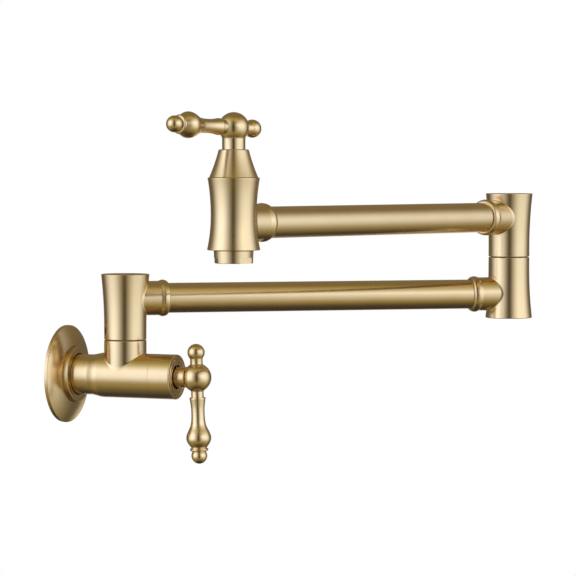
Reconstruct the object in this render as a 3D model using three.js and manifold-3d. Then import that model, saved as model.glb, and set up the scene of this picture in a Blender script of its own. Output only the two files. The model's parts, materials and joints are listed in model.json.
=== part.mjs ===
// A wall-mounted pot filler: a cold-water tap on a folding arm with two swivels and two valves.
// Millimetres, +Z up. The wall is the plane Y = 0, and the tap stands out from it towards -Y.
// The origin is the centre of the wall flange's back, on the axis of the valve barrel.

import * as THREE from 'three';
import { mergeVertices } from 'three/addons/utils/BufferGeometryUtils.js';
import Module from 'manifold-3d';

const wasm = await Module();
wasm.setup();

// ---- Rest pose, in degrees ----
const lowerArmAngle = 38.3; // from straight out of the wall, towards +X
const elbowAngle = 30.2; // between the two arms, 0 when they are folded together

// ---- Clearances ----
const seatGap = 0.3; // between pieces that rest on, or screw into, each other
const swivelGap = 0.4; // the seam that shows at each swivel
const edgeBreak = 0.4; // small chamfer on turned edges
const cutOverrun = 1; // how far a cutter reaches past the face it leaves by

// ---- Facets in a full turn ----
const flangeFacets = 32;
const bodyFacets = 20;
const innerFacets = 14;
const smallFacets = 12;
const socketFacets = 8;
const sealFacets = 16;
const sealSectionFacets = 4;

// ---- Valve barrel, which the pieces round it follow ----
const barrelRadius = 14.15;
const barrelEnd = 63.4; // wall to the seam under the bonnet
const shoulderRise = 1.4; // barrel over inlet neck
const neckRadius = barrelRadius - shoulderRise;

// ---- Wall flange ----
const flangeRadius = 31;
const flangeRimHeight = 3.4;
const flangeRimWidth = 3;
const flangeWall = 2.2;
const flangeConeTop = 5.9; // height of the cone where it meets the boss
const flangeBossHeight = 9.8;
const flangePlay = 0.5; // round the inlet neck
const flangeBoreRadius = neckRadius + flangePlay;
const flangeBossWall = 4.45;
const flangeBossRadius = flangeBoreRadius + flangeBossWall;
const flangeSealSection = 2.5; // thickness of the rubber ring in the bore
const flangeSealHeight = 6.5;

// ---- Valve body: a T of inlet neck, barrel and riser ----
const neckStart = 0.6; // the inlet end stands this far off the wall
const shoulderStart = 19;
const shoulderEnd = 28;
const noseLength = 7.6; // the threaded nose that carries the bonnet
const bonnetWall = 1.55;
const noseRadius = barrelRadius - bonnetWall - seatGap;
const inletRadius = 9.3; // female half-inch pipe thread, at its crest
const inletDepth = 15;
const seatPortRadius = 5;
const wallSeatDepth = 35.35; // bonnet seam down to the cartridge seat
const wallSeat = barrelEnd - wallSeatDepth;
const chamberRadius = 10.3; // bore round the cartridge
const riserDistance = 42; // wall to the axis of the first swivel
const riserRadius = 13.4;
const riserHeight = 22.45; // barrel axis to the riser's top face
const riserPortRadius = 7;

// ---- Bonnet of the wall valve ----
const bonnetLength = 14.55;
const bonnetFace = barrelEnd + bonnetLength;
const bonnetHoleRadius = 7.8;
const bonnetFaceWall = 2.6;
const bonnetShelf = 0.5; // at the end of its thread
const bonnetInnerRadius = noseRadius - bonnetShelf;
const bonnetBand = 2.35; // plain band round the groove in its face
const bonnetGrooveWidth = 0.8;
const bonnetGrooveRadius = barrelRadius - bonnetBand - bonnetGrooveWidth;
const bonnetGrooveDepth = 0.35;

// ---- Swivels: a hollow pin screwed into one side, held by a grub screw in the other ----
const pinRadius = 9;
const pinBoreRadius = 6;
const pinThreadLength = 10.2;
const pinReach = 18; // length inside the turning post
const pinGrooveHeight = 5.55; // retaining groove, above the post's seam face
const pinGrooveWidth = 3.8;
const pinGrooveDepth = 1.5; // of the retaining groove and of the two seals' grooves
const pinSealHeights = [10.6, 14.6];
const pinSealSection = 1.4;
const pinSealPlay = 0.2; // between a seal and the floor of its groove
const washerRadius = 12;
const washerThickness = 0.8;
const washerRecess = 1;

// ---- Posts and the collars that hold the arm tubes ----
const postSeamRadius = 13.35;
const postEndRadius = 15.25;
const postStraight = 7; // the plain stretch next to the seam
const postHeight = 41.4;
const postArmHeight = 25.95; // seam face to arm axis
const postEndWall = 3;
const footHeight = 39.8; // lower half of the elbow
const footArmDepth = 24; // its seam face down to the arm axis
const collarRadius = 10.9;
const beadStart = 22.6; // from the post's axis
const beadWidth = 3;
const beadHeight = 0.75;
const lipWidth = 1.8;
const lipWall = 0.4;

// ---- Arms ----
const armLength = 258.5; // axis to axis
const tubeRadius = 9.525;
const tubeWall = 1.2;
const tubeEndFromAxis = 14;
const armPortRadius = 8;

// ---- Grub screws of the swivels ----
const grubRadius = 2.4;
const grubPointRadius = 1.5;
const grubSocketFlats = 2.5;
const grubSocketDepth = 2;
const grubInset = 0.5; // below the post's surface

// ---- Outlet body ----
const outletTopRadius = 15.5;
const outletWaistRadius = 13.6;
const outletBottomRadius = 15.75;
const outletWaistHeight = 20.6;
const outletHeight = 43.05;
const outletArmHeight = 16.05;
const outletSeatDepth = 33.7; // body's top down to the cartridge seat
const outletSeat = outletHeight - outletSeatDepth;
const outletNoseRadius = 11.6;
const outletNoseHeight = 3.5;

// ---- Bonnet of the outlet valve, a hollow cone ----
const coneBaseRadius = 14.6;
const coneTopRadius = 8.9;
const coneHeight = 16.7;
const coneHollow = 0.35; // how far its side is drawn in
const coneWall = 1.7;
const coneHoleRadius = 7.4;

// ---- Aerator ----
const aeratorThreadRadius = 10.4;
const aeratorThreadLength = 4.2;
const aeratorPocketDepth = 5.5;
const aeratorTopRadius = 11.85;
const aeratorBottomRadius = 11.5;
const aeratorHeight = 7.8;
const aeratorBoreRadius = 9.3;
const aeratorLipRadius = 8.3;
const aeratorLipHeight = 0.7;
const keyNotches = 3;
const keyNotchTurn = 87; // degrees, from the arm's direction to the first notch
const keyNotchWidth = 9;
const keyNotchHeight = 3.4;
const keyNotchDepth = 0.8;
const insertPlate = 2.4;
const insertWall = 1;
const insertHoleRadius = 0.7;
const insertHoleRings = [
  { radius: 2.4, holes: 5 },
  { radius: 5.4, holes: 10 },
];
const aeratorWasherBore = 6.5;

// ---- Ceramic cartridge, measured along its axis from its seat ----
const shellRadius = 8.6;
const shellBoreRadius = 7.6;
const shellStart = 1.5;
const shellHeadRadius = 9.9;
const shellHeadStart = 17;
const shellEnd = 24;
const glandRadius = 5.2;
const glandStart = 17.8;
const windowStart = 10.5;
const windowHeight = 4.8;
const windowWidth = 11;
const seatSealThickness = 3;
const seatSealBore = 4;
const discThickness = 3;
const discPortInner = 2;
const discPortOuter = 6;
const discPortAngle = 80;
const driveWidth = 3.4;
const driveDepth = 1.2;
const driveRise = 2.1;
const stemWaistRadius = 4;
const stemShoulderRadius = 6.2;
const stemShoulderLength = 2;
const stemJournalRadius = 4.9;
const stemJournalEnd = 25;
const stemSealHeight = 21;
const stemSealSection = 1;
const splineStart = 42;
const splineEnd = 59.1;
const splineTeeth = 12;
const splineRadius = 3.4;
const splineDepth = 0.4;
const nutLength = 5.7;
const nutBoreRadius = 5.6;
const nutSlotWidth = 3;
const nutSlotDepth = 2.4;

// ---- Handles, measured from the centre of the hub's ball ----
const hubBallRadius = 9.15;
const hubNeckEnd = 16;
const hubNeckFillet = 2.2;
const wallHubNeckRadius = 6.25;
const outletHubNeckRadius = 6.9;
const hubSocketEnd = 3.9; // the blind socket for the stem stops this far below the centre
const hubScrewDepth = 12.2; // height of the handle screw, below the centre
const hubScrewRadius = 1.7;
const hubScrewSocketFlats = 1.5;
const hubScrewSocketDepth = 1.2;
const leverAngle = 2; // degrees, the lever's tip away from the body
const leverSpotFace = 7.6; // where the lever and the finial seat in the ball
const tangRadius = 2.3;
const tangLength = 3;
const leverNeckRadius = 3.95;
const leverLipStation = 12.5;
const leverLipRadius = 5.05;
const leverLipWidth = 1.2;
const leverWaistStation = 22.5;
const leverWaistRadius = 4.19;
const leverBulbStation = 37.8;
const leverBulbRadius = 7.85;
const leverRingStation = 45.2;
const leverRingRadius = 5.75;
const leverRingWidth = 2.2;
const leverTipNeckRadius = 4.15;
const leverTipStation = 49.1;
const leverTipRadius = 5;
const finialStation = 15.8;
const finialRadius = 5.45;

// ---- Finishes ----
const satinGold = { color: 0xcdaa66, roughness: 0.36, metalness: 1 };
const rawBrass = { color: 0xb5924c, roughness: 0.45, metalness: 1 };
const blackRubber = { color: 0x1c1c1c, roughness: 0.8, metalness: 0 };
const whiteNylon = { color: 0xe9e6dc, roughness: 0.6, metalness: 0 };
const greyCeramic = { color: 0xd8d3c8, roughness: 0.35, metalness: 0 };
const steelScrew = { color: 0x6f6c66, roughness: 0.4, metalness: 1 };

// ---- Directions in which a piece turned about +Z can be laid ----
const quarterTurn = Math.PI / 2;
const alongZ = new THREE.Matrix4();
const alongX = new THREE.Matrix4().makeRotationY(quarterTurn);
const alongMinusX = new THREE.Matrix4().makeRotationY(-quarterTurn);
const alongY = new THREE.Matrix4().makeRotationX(-quarterTurn);

/** The same direction, moved so that it starts at (x, y, z). */
function startingAt(x, y, z, direction = alongZ) {
  return new THREE.Matrix4().makeTranslation(x, y, z).multiply(direction);
}

/** A closed three.js geometry as a solid that can be joined and cut. */
function solidOf(geometry) {
  const bare = new THREE.BufferGeometry();
  bare.setAttribute('position', geometry.getAttribute('position'));
  bare.setIndex(geometry.getIndex());
  const merged = mergeVertices(bare, 1e-4);
  const corners = merged.getIndex().array;
  const triVerts = [];
  for (let i = 0; i < corners.length; i += 3) {
    const [a, b, c] = corners.subarray(i, i + 3);
    const hasArea = a !== b && b !== c && c !== a;
    if (hasArea) triVerts.push(a, b, c);
  }
  const vertProperties = new Float32Array(merged.getAttribute('position').array);
  return new wasm.Manifold(
    new wasm.Mesh({ numProp: 3, vertProperties, triVerts: Uint32Array.from(triVerts) })
  );
}

/** A solid as a three.js geometry. */
function geometryOf(solid) {
  const mesh = solid.getMesh();
  const geometry = new THREE.BufferGeometry();
  geometry.setAttribute('position', new THREE.BufferAttribute(new Float32Array(mesh.vertProperties), 3));
  geometry.setIndex(new THREE.BufferAttribute(new Uint32Array(mesh.triVerts), 1));
  geometry.computeVertexNormals();
  return geometry;
}

/** Revolves a closed outline of [radius, height] points, listed bottom, outside, top, inside. */
function turned(outline, facets, placement = alongZ) {
  const points = [...outline, outline[0]].map(([radius, height]) => new THREE.Vector2(radius, height));
  const geometry = new THREE.LatheGeometry(points, facets);
  geometry.rotateX(quarterTurn);
  geometry.applyMatrix4(placement);
  return solidOf(geometry);
}

/** A plain cylinder between two heights. */
function rod(radius, from, to, facets, placement = alongZ) {
  return turned([[0, from], [radius, from], [radius, to], [0, to]], facets, placement);
}

/** A ring of rectangular section. */
function ring(inner, outer, from, to, facets, placement = alongZ) {
  return turned([[inner, from], [outer, from], [outer, to], [inner, to]], facets, placement);
}

/** A rubber ring of round section, lying flat at a height. */
function sealRing(innerRadius, section, height) {
  const half = section / 2;
  const geometry = new THREE.TorusGeometry(innerRadius + half, half, sealSectionFacets, sealFacets);
  geometry.translate(0, 0, height);
  return solidOf(geometry);
}

/** A box given by its size and centre. */
function block(width, depth, height, x, y, z) {
  const geometry = new THREE.BoxGeometry(width, depth, height);
  geometry.translate(x, y, z);
  return solidOf(geometry);
}

/** A hexagonal prism between two heights, for a socket key. */
function hexRod(flats, from, to, placement) {
  const cornerRadius = flats / 2 / Math.cos(Math.PI / 6);
  return rod(cornerRadius, from, to, 6, placement);
}

/** A flat shape raised from one height to another. */
function raised(shape, from, to) {
  const geometry = new THREE.ExtrudeGeometry(shape, { depth: to - from, bevelEnabled: false, curveSegments: 3 });
  geometry.translate(0, 0, from);
  return solidOf(geometry);
}

function joined(first, ...others) {
  return others.reduce((sum, other) => sum.add(other), first);
}

function cut(blank, ...cutters) {
  return cutters.reduce((rest, cutter) => rest.subtract(cutter), blank);
}

/** Points of an arc in an outline, from one angle to another in degrees. */
function arc(centreRadius, centreHeight, radius, from, to, steps) {
  const points = [];
  for (let i = 0; i <= steps; i += 1) {
    const angle = THREE.MathUtils.degToRad(from + ((to - from) * i) / steps);
    points.push([centreRadius + radius * Math.cos(angle), centreHeight + radius * Math.sin(angle)]);
  }
  return points;
}

/** Points of an outline whose radius follows a law of t, from 0 to 1 between two heights. */
function sweep(from, to, steps, radiusAt) {
  const points = [];
  for (let i = 0; i <= steps; i += 1) {
    const t = i / steps;
    points.push([radiusAt(t), from + (to - from) * t]);
  }
  return points;
}

/** Adds a named mesh to a group. */
function addPiece(group, name, solid, finish) {
  const mesh = new THREE.Mesh(geometryOf(solid), new THREE.MeshStandardMaterial(finish));
  mesh.name = name;
  group.add(mesh);
}

/** A nested group at a place, turned about its own Z. */
function subgroup(parent, x, y, z, turn = 0) {
  const group = new THREE.Group();
  group.position.set(x, y, z);
  group.rotation.z = THREE.MathUtils.degToRad(turn);
  parent.add(group);
  return group;
}

// ==== Wall side ====
// In this group +Z leads out of the wall and +Y is up.

function flangeSolid() {
  const coneStart = flangeRadius - edgeBreak;
  const rimInner = flangeRadius - flangeRimWidth;
  const slope = (flangeConeTop - flangeRimHeight) / (coneStart - flangeBossRadius);
  const undersideAt = (radius) => flangeRimHeight + (coneStart - radius) * slope - flangeWall;
  const grooveHalf = flangeSealSection / 2 + seatGap;
  const grooveRadius = neckRadius + flangeSealSection + 2 * seatGap;
  return turned([
    [rimInner, 0],
    [flangeRadius, 0],
    [flangeRadius, flangeRimHeight - edgeBreak],
    [coneStart, flangeRimHeight],
    [flangeBossRadius, flangeConeTop],
    [flangeBossRadius, flangeBossHeight - edgeBreak],
    [flangeBossRadius - edgeBreak, flangeBossHeight],
    [flangeBoreRadius, flangeBossHeight],
    [flangeBoreRadius, flangeSealHeight + grooveHalf],
    [grooveRadius, flangeSealHeight + grooveHalf],
    [grooveRadius, flangeSealHeight - grooveHalf],
    [flangeBoreRadius, flangeSealHeight - grooveHalf],
    [flangeBoreRadius, undersideAt(flangeBossRadius)],
    [flangeBossRadius, undersideAt(flangeBossRadius)],
    [rimInner, undersideAt(rimInner)],
  ], flangeFacets);
}

/** The soft swell from the neck up to the barrel. */
function shoulder() {
  const rise = barrelRadius - neckRadius;
  return sweep(shoulderStart, shoulderEnd, 4, (t) => neckRadius + rise * Math.sin(t * quarterTurn) ** 2);
}

function valveBodySolid() {
  const noseEnd = barrelEnd + noseLength;
  const inletEnd = neckStart + inletDepth;
  const outside = turned([
    [0, neckStart],
    [neckRadius - edgeBreak, neckStart],
    [neckRadius, neckStart + edgeBreak],
    ...shoulder(),
    [barrelRadius, barrelEnd],
    [noseRadius, barrelEnd],
    [noseRadius, noseEnd],
    [0, noseEnd],
  ], bodyFacets);
  const waterway = turned([
    [0, neckStart - cutOverrun],
    [inletRadius, neckStart - cutOverrun],
    [inletRadius, inletEnd],
    [seatPortRadius, inletEnd],
    [seatPortRadius, wallSeat],
    [chamberRadius, wallSeat],
    [chamberRadius, noseEnd + cutOverrun],
    [0, noseEnd + cutOverrun],
  ], bodyFacets);
  const upwards = startingAt(0, 0, riserDistance, alongY);
  const riser = turned([
    [0, 0],
    [riserRadius, 0],
    [riserRadius, riserHeight - edgeBreak],
    [riserRadius - edgeBreak, riserHeight],
    [0, riserHeight],
  ], bodyFacets, upwards);
  return cut(joined(outside, riser), waterway, pinSocket(riserHeight, riserPortRadius, 0, upwards));
}

/** The cutter for a swivel pin's socket below a seam face, with the washer's recess and the port. */
function pinSocket(seam, portRadius, portEnd, placement) {
  const shelf = seam - pinThreadLength - seatGap;
  const recessRadius = washerRadius + seatGap;
  return turned([
    [0, portEnd],
    [portRadius, portEnd],
    [portRadius, shelf],
    [pinRadius + seatGap, shelf],
    [pinRadius + seatGap, seam - washerRecess],
    [recessRadius, seam - washerRecess],
    [recessRadius, seam + cutOverrun],
    [0, seam + cutOverrun],
  ], bodyFacets, placement);
}

function wallBonnetSolid() {
  const start = barrelEnd + seatGap;
  const threadEnd = barrelEnd + noseLength + seatGap;
  const threadRadius = noseRadius + seatGap;
  return turned([
    [threadRadius, start],
    [barrelRadius, start],
    [barrelRadius, bonnetFace - edgeBreak],
    [barrelRadius - edgeBreak, bonnetFace],
    [bonnetGrooveRadius + bonnetGrooveWidth, bonnetFace],
    [bonnetGrooveRadius + bonnetGrooveWidth / 2, bonnetFace - bonnetGrooveDepth],
    [bonnetGrooveRadius, bonnetFace],
    [bonnetHoleRadius + edgeBreak, bonnetFace],
    [bonnetHoleRadius, bonnetFace - edgeBreak],
    [bonnetHoleRadius, bonnetFace - bonnetFaceWall],
    [bonnetInnerRadius, bonnetFace - bonnetFaceWall],
    [bonnetInnerRadius, threadEnd],
    [threadRadius, threadEnd],
  ], bodyFacets);
}

function addWallSide(group) {
  addPiece(group, 'wall_flange', flangeSolid(), satinGold);
  const flangeSeal = sealRing(neckRadius + seatGap, flangeSealSection, flangeSealHeight);
  addPiece(group, 'flange_seal_ring', flangeSeal, blackRubber);
  addPiece(group, 'valve_body', valveBodySolid(), satinGold);
  addPiece(group, 'wall_bonnet', wallBonnetSolid(), satinGold);
  addCartridge(subgroup(group, 0, 0, wallSeat), 'wall');
  const lever = subgroup(group, 0, 0, wallSeat + hubAboveSeat(), -90);
  addHandle(lever, 'wall', wallHubNeckRadius);
}

// ==== Ceramic cartridge ====
// The group's origin is the seat, and +Z leads to the handle.

const fixedDiscStart = seatGap + seatSealThickness + seatGap;
const movingDiscStart = fixedDiscStart + discThickness + seatGap;
const movingDiscEnd = movingDiscStart + discThickness;

function cartridgeShellSolid() {
  const shell = turned([
    [shellBoreRadius, shellStart],
    [shellRadius, shellStart],
    [shellRadius, shellHeadStart - (shellHeadRadius - shellRadius)],
    [shellHeadRadius, shellHeadStart],
    [shellHeadRadius, shellEnd],
    [glandRadius, shellEnd],
    [glandRadius, glandStart],
    [shellBoreRadius, glandStart],
  ], innerFacets);
  const windowMiddle = windowStart + windowHeight / 2;
  return cut(shell, block(2 * shellHeadRadius, windowWidth, windowHeight, 0, 0, windowMiddle));
}

/** A sector of a ring, centred on an angle in degrees. */
function sector(inner, outer, middle, spread) {
  const from = THREE.MathUtils.degToRad(middle - spread / 2);
  const to = THREE.MathUtils.degToRad(middle + spread / 2);
  const shape = new THREE.Shape();
  shape.absarc(0, 0, outer, from, to, false);
  shape.absarc(0, 0, inner, to, from, true);
  shape.closePath();
  return shape;
}

/** A ceramic disc with two ports, one each side of the line through a given angle. */
function portedDisc(from, portMiddle) {
  const discRadius = shellBoreRadius - seatGap;
  const to = from + discThickness;
  const ports = [0, 180].map((side) =>
    raised(
      sector(discPortInner, discPortOuter, portMiddle + side, discPortAngle),
      from - cutOverrun,
      to + cutOverrun
    )
  );
  return cut(rod(discRadius, from, to, innerFacets), ...ports);
}

function movingDiscSolid() {
  const slotDepth = driveDepth + seatGap;
  const slotWidth = driveWidth + 2 * seatGap;
  const slotHeight = slotDepth + cutOverrun;
  const slotMiddle = movingDiscEnd - slotDepth + slotHeight / 2;
  const slot = block(2 * shellBoreRadius, slotWidth, slotHeight, 0, 0, slotMiddle);
  return cut(portedDisc(movingDiscStart, 90), slot);
}

/** The toothed section of the stem's top end. */
function splineShape() {
  const points = [];
  for (let i = 0; i < 2 * splineTeeth; i += 1) {
    const radius = i % 2 === 0 ? splineRadius : splineRadius - splineDepth;
    const angle = (Math.PI * i) / splineTeeth;
    points.push(new THREE.Vector2(radius * Math.cos(angle), radius * Math.sin(angle)));
  }
  return new THREE.Shape(points);
}

function stemSolid() {
  const driveTop = movingDiscEnd + driveRise;
  const driveHeight = driveDepth + driveRise;
  const driveSpan = 2 * (shellBoreRadius - 2 * seatGap);
  const driveBar = block(driveSpan, driveWidth, driveHeight, 0, 0, driveTop - driveHeight / 2);
  const shoulderTop = glandStart - seatGap;
  const sealFloor = glandRadius - stemSealSection - 2 * seatGap;
  const sealHalf = stemSealSection / 2 + seatGap;
  const splineRoot = splineRadius - splineDepth;
  const shaft = turned([
    [0, driveTop - driveRise / 2],
    [stemWaistRadius, driveTop - driveRise / 2],
    [stemWaistRadius, shoulderTop - stemShoulderLength],
    [stemShoulderRadius, shoulderTop - stemShoulderLength],
    [stemShoulderRadius, shoulderTop],
    [stemJournalRadius, shoulderTop],
    [stemJournalRadius, stemSealHeight - sealHalf],
    [sealFloor, stemSealHeight - sealHalf],
    [sealFloor, stemSealHeight + sealHalf],
    [stemJournalRadius, stemSealHeight + sealHalf],
    [stemJournalRadius, stemJournalEnd],
    [stemWaistRadius, stemJournalEnd],
    [stemWaistRadius, splineStart],
    [splineRoot, splineStart],
    [splineRoot, splineEnd],
    [0, splineEnd],
  ], smallFacets);
  return joined(shaft, driveBar, raised(splineShape(), splineStart, splineEnd));
}

function nutSolid() {
  const from = shellEnd + seatGap;
  const to = from + nutLength;
  const span = 2 * chamberRadius;
  const slotHeight = nutSlotDepth + cutOverrun;
  const slotMiddle = to - nutSlotDepth + slotHeight / 2;
  return cut(
    ring(nutBoreRadius, chamberRadius - seatGap, from, to, innerFacets),
    block(span, nutSlotWidth, slotHeight, 0, 0, slotMiddle),
    block(nutSlotWidth, span, slotHeight, 0, 0, slotMiddle)
  );
}

function addCartridge(group, side) {
  const discRadius = shellBoreRadius - seatGap;
  const seatSeal = ring(seatSealBore, discRadius, seatGap, seatGap + seatSealThickness, innerFacets);
  const stemSealInner = glandRadius - stemSealSection - seatGap;
  addPiece(group, `${side}_seat_seal`, seatSeal, blackRubber);
  addPiece(group, `${side}_cartridge_shell`, cartridgeShellSolid(), rawBrass);
  addPiece(group, `${side}_fixed_disc`, portedDisc(fixedDiscStart, 0), greyCeramic);
  addPiece(group, `${side}_moving_disc`, movingDiscSolid(), greyCeramic);
  addPiece(group, `${side}_stem`, stemSolid(), rawBrass);
  addPiece(group, `${side}_stem_seal`, sealRing(stemSealInner, stemSealSection, stemSealHeight), blackRubber);
  addPiece(group, `${side}_cartridge_nut`, nutSolid(), rawBrass);
}

// ==== Handles ====
// The group's origin is the centre of the hub's ball, +Z leads away from the valve and the lever
// points along +X, raised a little towards +Z.

const tiltAngle = THREE.MathUtils.degToRad(leverAngle);
const alongLever = new THREE.Matrix4().makeRotationY(quarterTurn - tiltAngle);
const alongFinial = new THREE.Matrix4().makeRotationY(-quarterTurn - tiltAngle);

/** Height of the ball's centre over the cartridge seat: the hub's socket rests on the stem's end. */
function hubAboveSeat() {
  return splineEnd + seatGap + hubSocketEnd;
}

/** The neck's side and the ball, with a fillet between them. */
function hubOutside(neck) {
  const filletRadius = neck + hubNeckFillet;
  const filletHeight = -Math.sqrt((hubBallRadius + hubNeckFillet) ** 2 - filletRadius ** 2);
  const meeting = THREE.MathUtils.radToDeg(Math.atan2(filletHeight, filletRadius));
  return [
    ...arc(filletRadius, filletHeight, hubNeckFillet, 180, 180 + meeting, 2),
    ...arc(0, 0, hubBallRadius, meeting, 90, 7).slice(1),
  ];
}

/** The cutter for the spot face and the tapped hole that take a lever or a finial. */
function tangSocket(placement) {
  const holeEnd = leverSpotFace - tangLength - seatGap;
  const faceStart = leverSpotFace - seatGap;
  return turned([
    [0, holeEnd],
    [tangRadius + seatGap, holeEnd],
    [tangRadius + seatGap, faceStart],
    [leverNeckRadius + seatGap, faceStart],
    [leverNeckRadius + seatGap, hubBallRadius + cutOverrun],
    [0, hubBallRadius + cutOverrun],
  ], smallFacets, placement);
}

function hubSolid(neck) {
  const socketRadius = splineRadius + seatGap;
  const blank = turned([
    [socketRadius, -hubNeckEnd],
    [neck - edgeBreak, -hubNeckEnd],
    [neck, edgeBreak - hubNeckEnd],
    ...hubOutside(neck),
    [0, -hubSocketEnd],
    [socketRadius, -hubSocketEnd],
  ], innerFacets);
  const towardsFinial = startingAt(0, 0, -hubScrewDepth, alongMinusX);
  const screwHole = rod(hubScrewRadius + seatGap, 0, neck + cutOverrun, socketFacets, towardsFinial);
  return cut(blank, tangSocket(alongLever), tangSocket(alongFinial), screwHole);
}

/** A turned tang and neck, up to a station on the lever's axis. */
function tangAndNeck(neckEnd) {
  return [
    [0, leverSpotFace - tangLength],
    [tangRadius, leverSpotFace - tangLength],
    [tangRadius, leverSpotFace],
    [leverNeckRadius, leverSpotFace],
    [leverNeckRadius, neckEnd],
  ];
}

/** A rounded bead on the lever, from one station to another. */
function leverBead(from, to, footRadius, crestRadius) {
  const height = crestRadius - footRadius;
  return sweep(from, to, 3, (t) => footRadius + height * Math.sin(t * Math.PI));
}

/** Where on a ball's axis its surface has shrunk to a given radius. */
function ballShoulder(ballRadius, radius) {
  return Math.sqrt(ballRadius ** 2 - radius ** 2);
}

function leverSolid() {
  const lipEnd = leverLipStation + leverLipWidth;
  const ringStart = leverRingStation - leverRingWidth / 2;
  const ringEnd = leverRingStation + leverRingWidth / 2;
  const tipStart = THREE.MathUtils.radToDeg(-Math.acos(leverTipNeckRadius / leverTipRadius));
  const bulbTurn = THREE.MathUtils.radToDeg(Math.asin((ringStart - leverBulbStation) / leverBulbRadius));
  const waist = (t) => leverWaistRadius + (leverLipRadius - leverWaistRadius) * (1 - t) ** 2;
  const swell = (t) =>
    leverWaistRadius + (leverBulbRadius - leverWaistRadius) * Math.sin(quarterTurn * t ** 1.5) ** 2;
  const bulbFoot = leverBulbRadius * Math.cos(THREE.MathUtils.degToRad(bulbTurn));
  return turned([
    ...tangAndNeck(leverLipStation),
    ...leverBead(leverLipStation, lipEnd, leverNeckRadius, leverLipRadius).slice(1, -1),
    ...sweep(lipEnd, leverWaistStation, 3, waist),
    ...sweep(leverWaistStation, leverBulbStation, 6, swell).slice(1),
    ...arc(0, leverBulbStation, leverBulbRadius, 0, bulbTurn, 3).slice(1),
    ...leverBead(ringStart, ringEnd, bulbFoot, leverRingRadius).slice(1, -1),
    [leverTipNeckRadius, ringEnd],
    ...arc(0, leverTipStation, leverTipRadius, tipStart, 90, 5),
  ], smallFacets, alongLever);
}

function finialSolid() {
  const ballStart = finialStation - ballShoulder(finialRadius, leverNeckRadius);
  const startAngle = THREE.MathUtils.radToDeg(-Math.acos(leverNeckRadius / finialRadius));
  return turned([
    ...tangAndNeck(ballStart),
    ...arc(0, finialStation, finialRadius, startAngle, 90, 6).slice(1),
  ], smallFacets, alongFinial);
}

/** A headless screw with a hexagon socket, from its point out to its outer end. */
function grubSolid(outline, flats, socketDepth, end, placement) {
  const socket = hexRod(flats, end - socketDepth, end + cutOverrun, placement);
  return cut(turned(outline, socketFacets, placement), socket);
}

function handleScrewSolid(neck) {
  const start = splineRadius + seatGap;
  const end = neck - seatGap;
  const placement = startingAt(0, 0, -hubScrewDepth, alongMinusX);
  const outline = [[0, start], [hubScrewRadius, start], [hubScrewRadius, end], [0, end]];
  return grubSolid(outline, hubScrewSocketFlats, hubScrewSocketDepth, end, placement);
}

function addHandle(group, side, neck) {
  addPiece(group, `${side}_handle_hub`, hubSolid(neck), satinGold);
  addPiece(group, `${side}_lever`, leverSolid(), satinGold);
  addPiece(group, `${side}_finial`, finialSolid(), satinGold);
  addPiece(group, `${side}_handle_screw`, handleScrewSolid(neck), steelScrew);
}

// ==== Swivels ====
// The group's origin is on the seam face that carries the pin, and +Z is up.

function swivelPinSolid() {
  const top = swivelGap + pinReach;
  const floor = pinRadius - pinGrooveDepth;
  const groove = (height, half) => [
    [pinRadius, swivelGap + height - half],
    [floor, swivelGap + height - half],
    [floor, swivelGap + height + half],
    [pinRadius, swivelGap + height + half],
  ];
  return turned([
    [pinBoreRadius, -pinThreadLength],
    [pinRadius, -pinThreadLength],
    ...groove(pinGrooveHeight, pinGrooveWidth / 2),
    ...pinSealHeights.flatMap((height) => groove(height, pinSealSection / 2 + seatGap)),
    [pinRadius, top - edgeBreak],
    [pinRadius - edgeBreak, top],
    [pinBoreRadius, top],
  ], innerFacets);
}

function addSwivelPin(group, name) {
  addPiece(group, `${name}_pin`, swivelPinSolid(), rawBrass);
  const sealInner = pinRadius - pinGrooveDepth + pinSealPlay;
  pinSealHeights.forEach((height, i) => {
    const seal = sealRing(sealInner, pinSealSection, swivelGap + height);
    addPiece(group, `${name}_pin_seal_${i + 1}`, seal, blackRubber);
  });
  const washerStart = seatGap - washerRecess;
  const washerInner = pinRadius + 2 * seatGap;
  const washer = ring(washerInner, washerRadius, washerStart, washerStart + washerThickness, innerFacets);
  addPiece(group, `${name}_slip_washer`, washer, whiteNylon);
}

// ==== Arms ====
// In each arm's group +X leads along the arm, and the origin is on the first post's seam face.

/** The outside of a post from its seam face at height 0 to its flared end. */
function postOutside(height) {
  const flare = postEndRadius - postSeamRadius;
  return [
    [0, 0],
    [postSeamRadius - edgeBreak, 0],
    [postSeamRadius, edgeBreak],
    ...sweep(postStraight, height - edgeBreak, 4, (t) => postSeamRadius + flare * t * t),
    [postEndRadius - edgeBreak, height],
    [0, height],
  ];
}

/** The collar that a tube is brazed into, laid from the post's axis outwards. */
function collarOutside(placement) {
  const beadEnd = beadStart + beadWidth;
  const reach = beadEnd + lipWidth;
  const lipEnd = tubeRadius + seatGap + lipWall;
  return turned([
    [0, 0],
    [collarRadius, 0],
    ...sweep(beadStart, beadEnd, 3, (t) => collarRadius + beadHeight * Math.sin(Math.PI * t)),
    ...sweep(beadEnd, reach, 2, (t) => lipEnd + (collarRadius - lipEnd) * Math.cos(t * quarterTurn)).slice(1),
    [0, reach],
  ], bodyFacets, placement);
}

/** The cutter for the tube's socket and the port behind it. */
function collarInside(placement) {
  const shelf = tubeEndFromAxis - seatGap;
  const mouth = beadStart + beadWidth + lipWidth + cutOverrun;
  const socketRadius = tubeRadius + seatGap;
  return turned([
    [0, 0],
    [armPortRadius, 0],
    [armPortRadius, shelf],
    [socketRadius, shelf],
    [socketRadius, mouth],
    [0, mouth],
  ], bodyFacets, placement);
}

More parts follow.
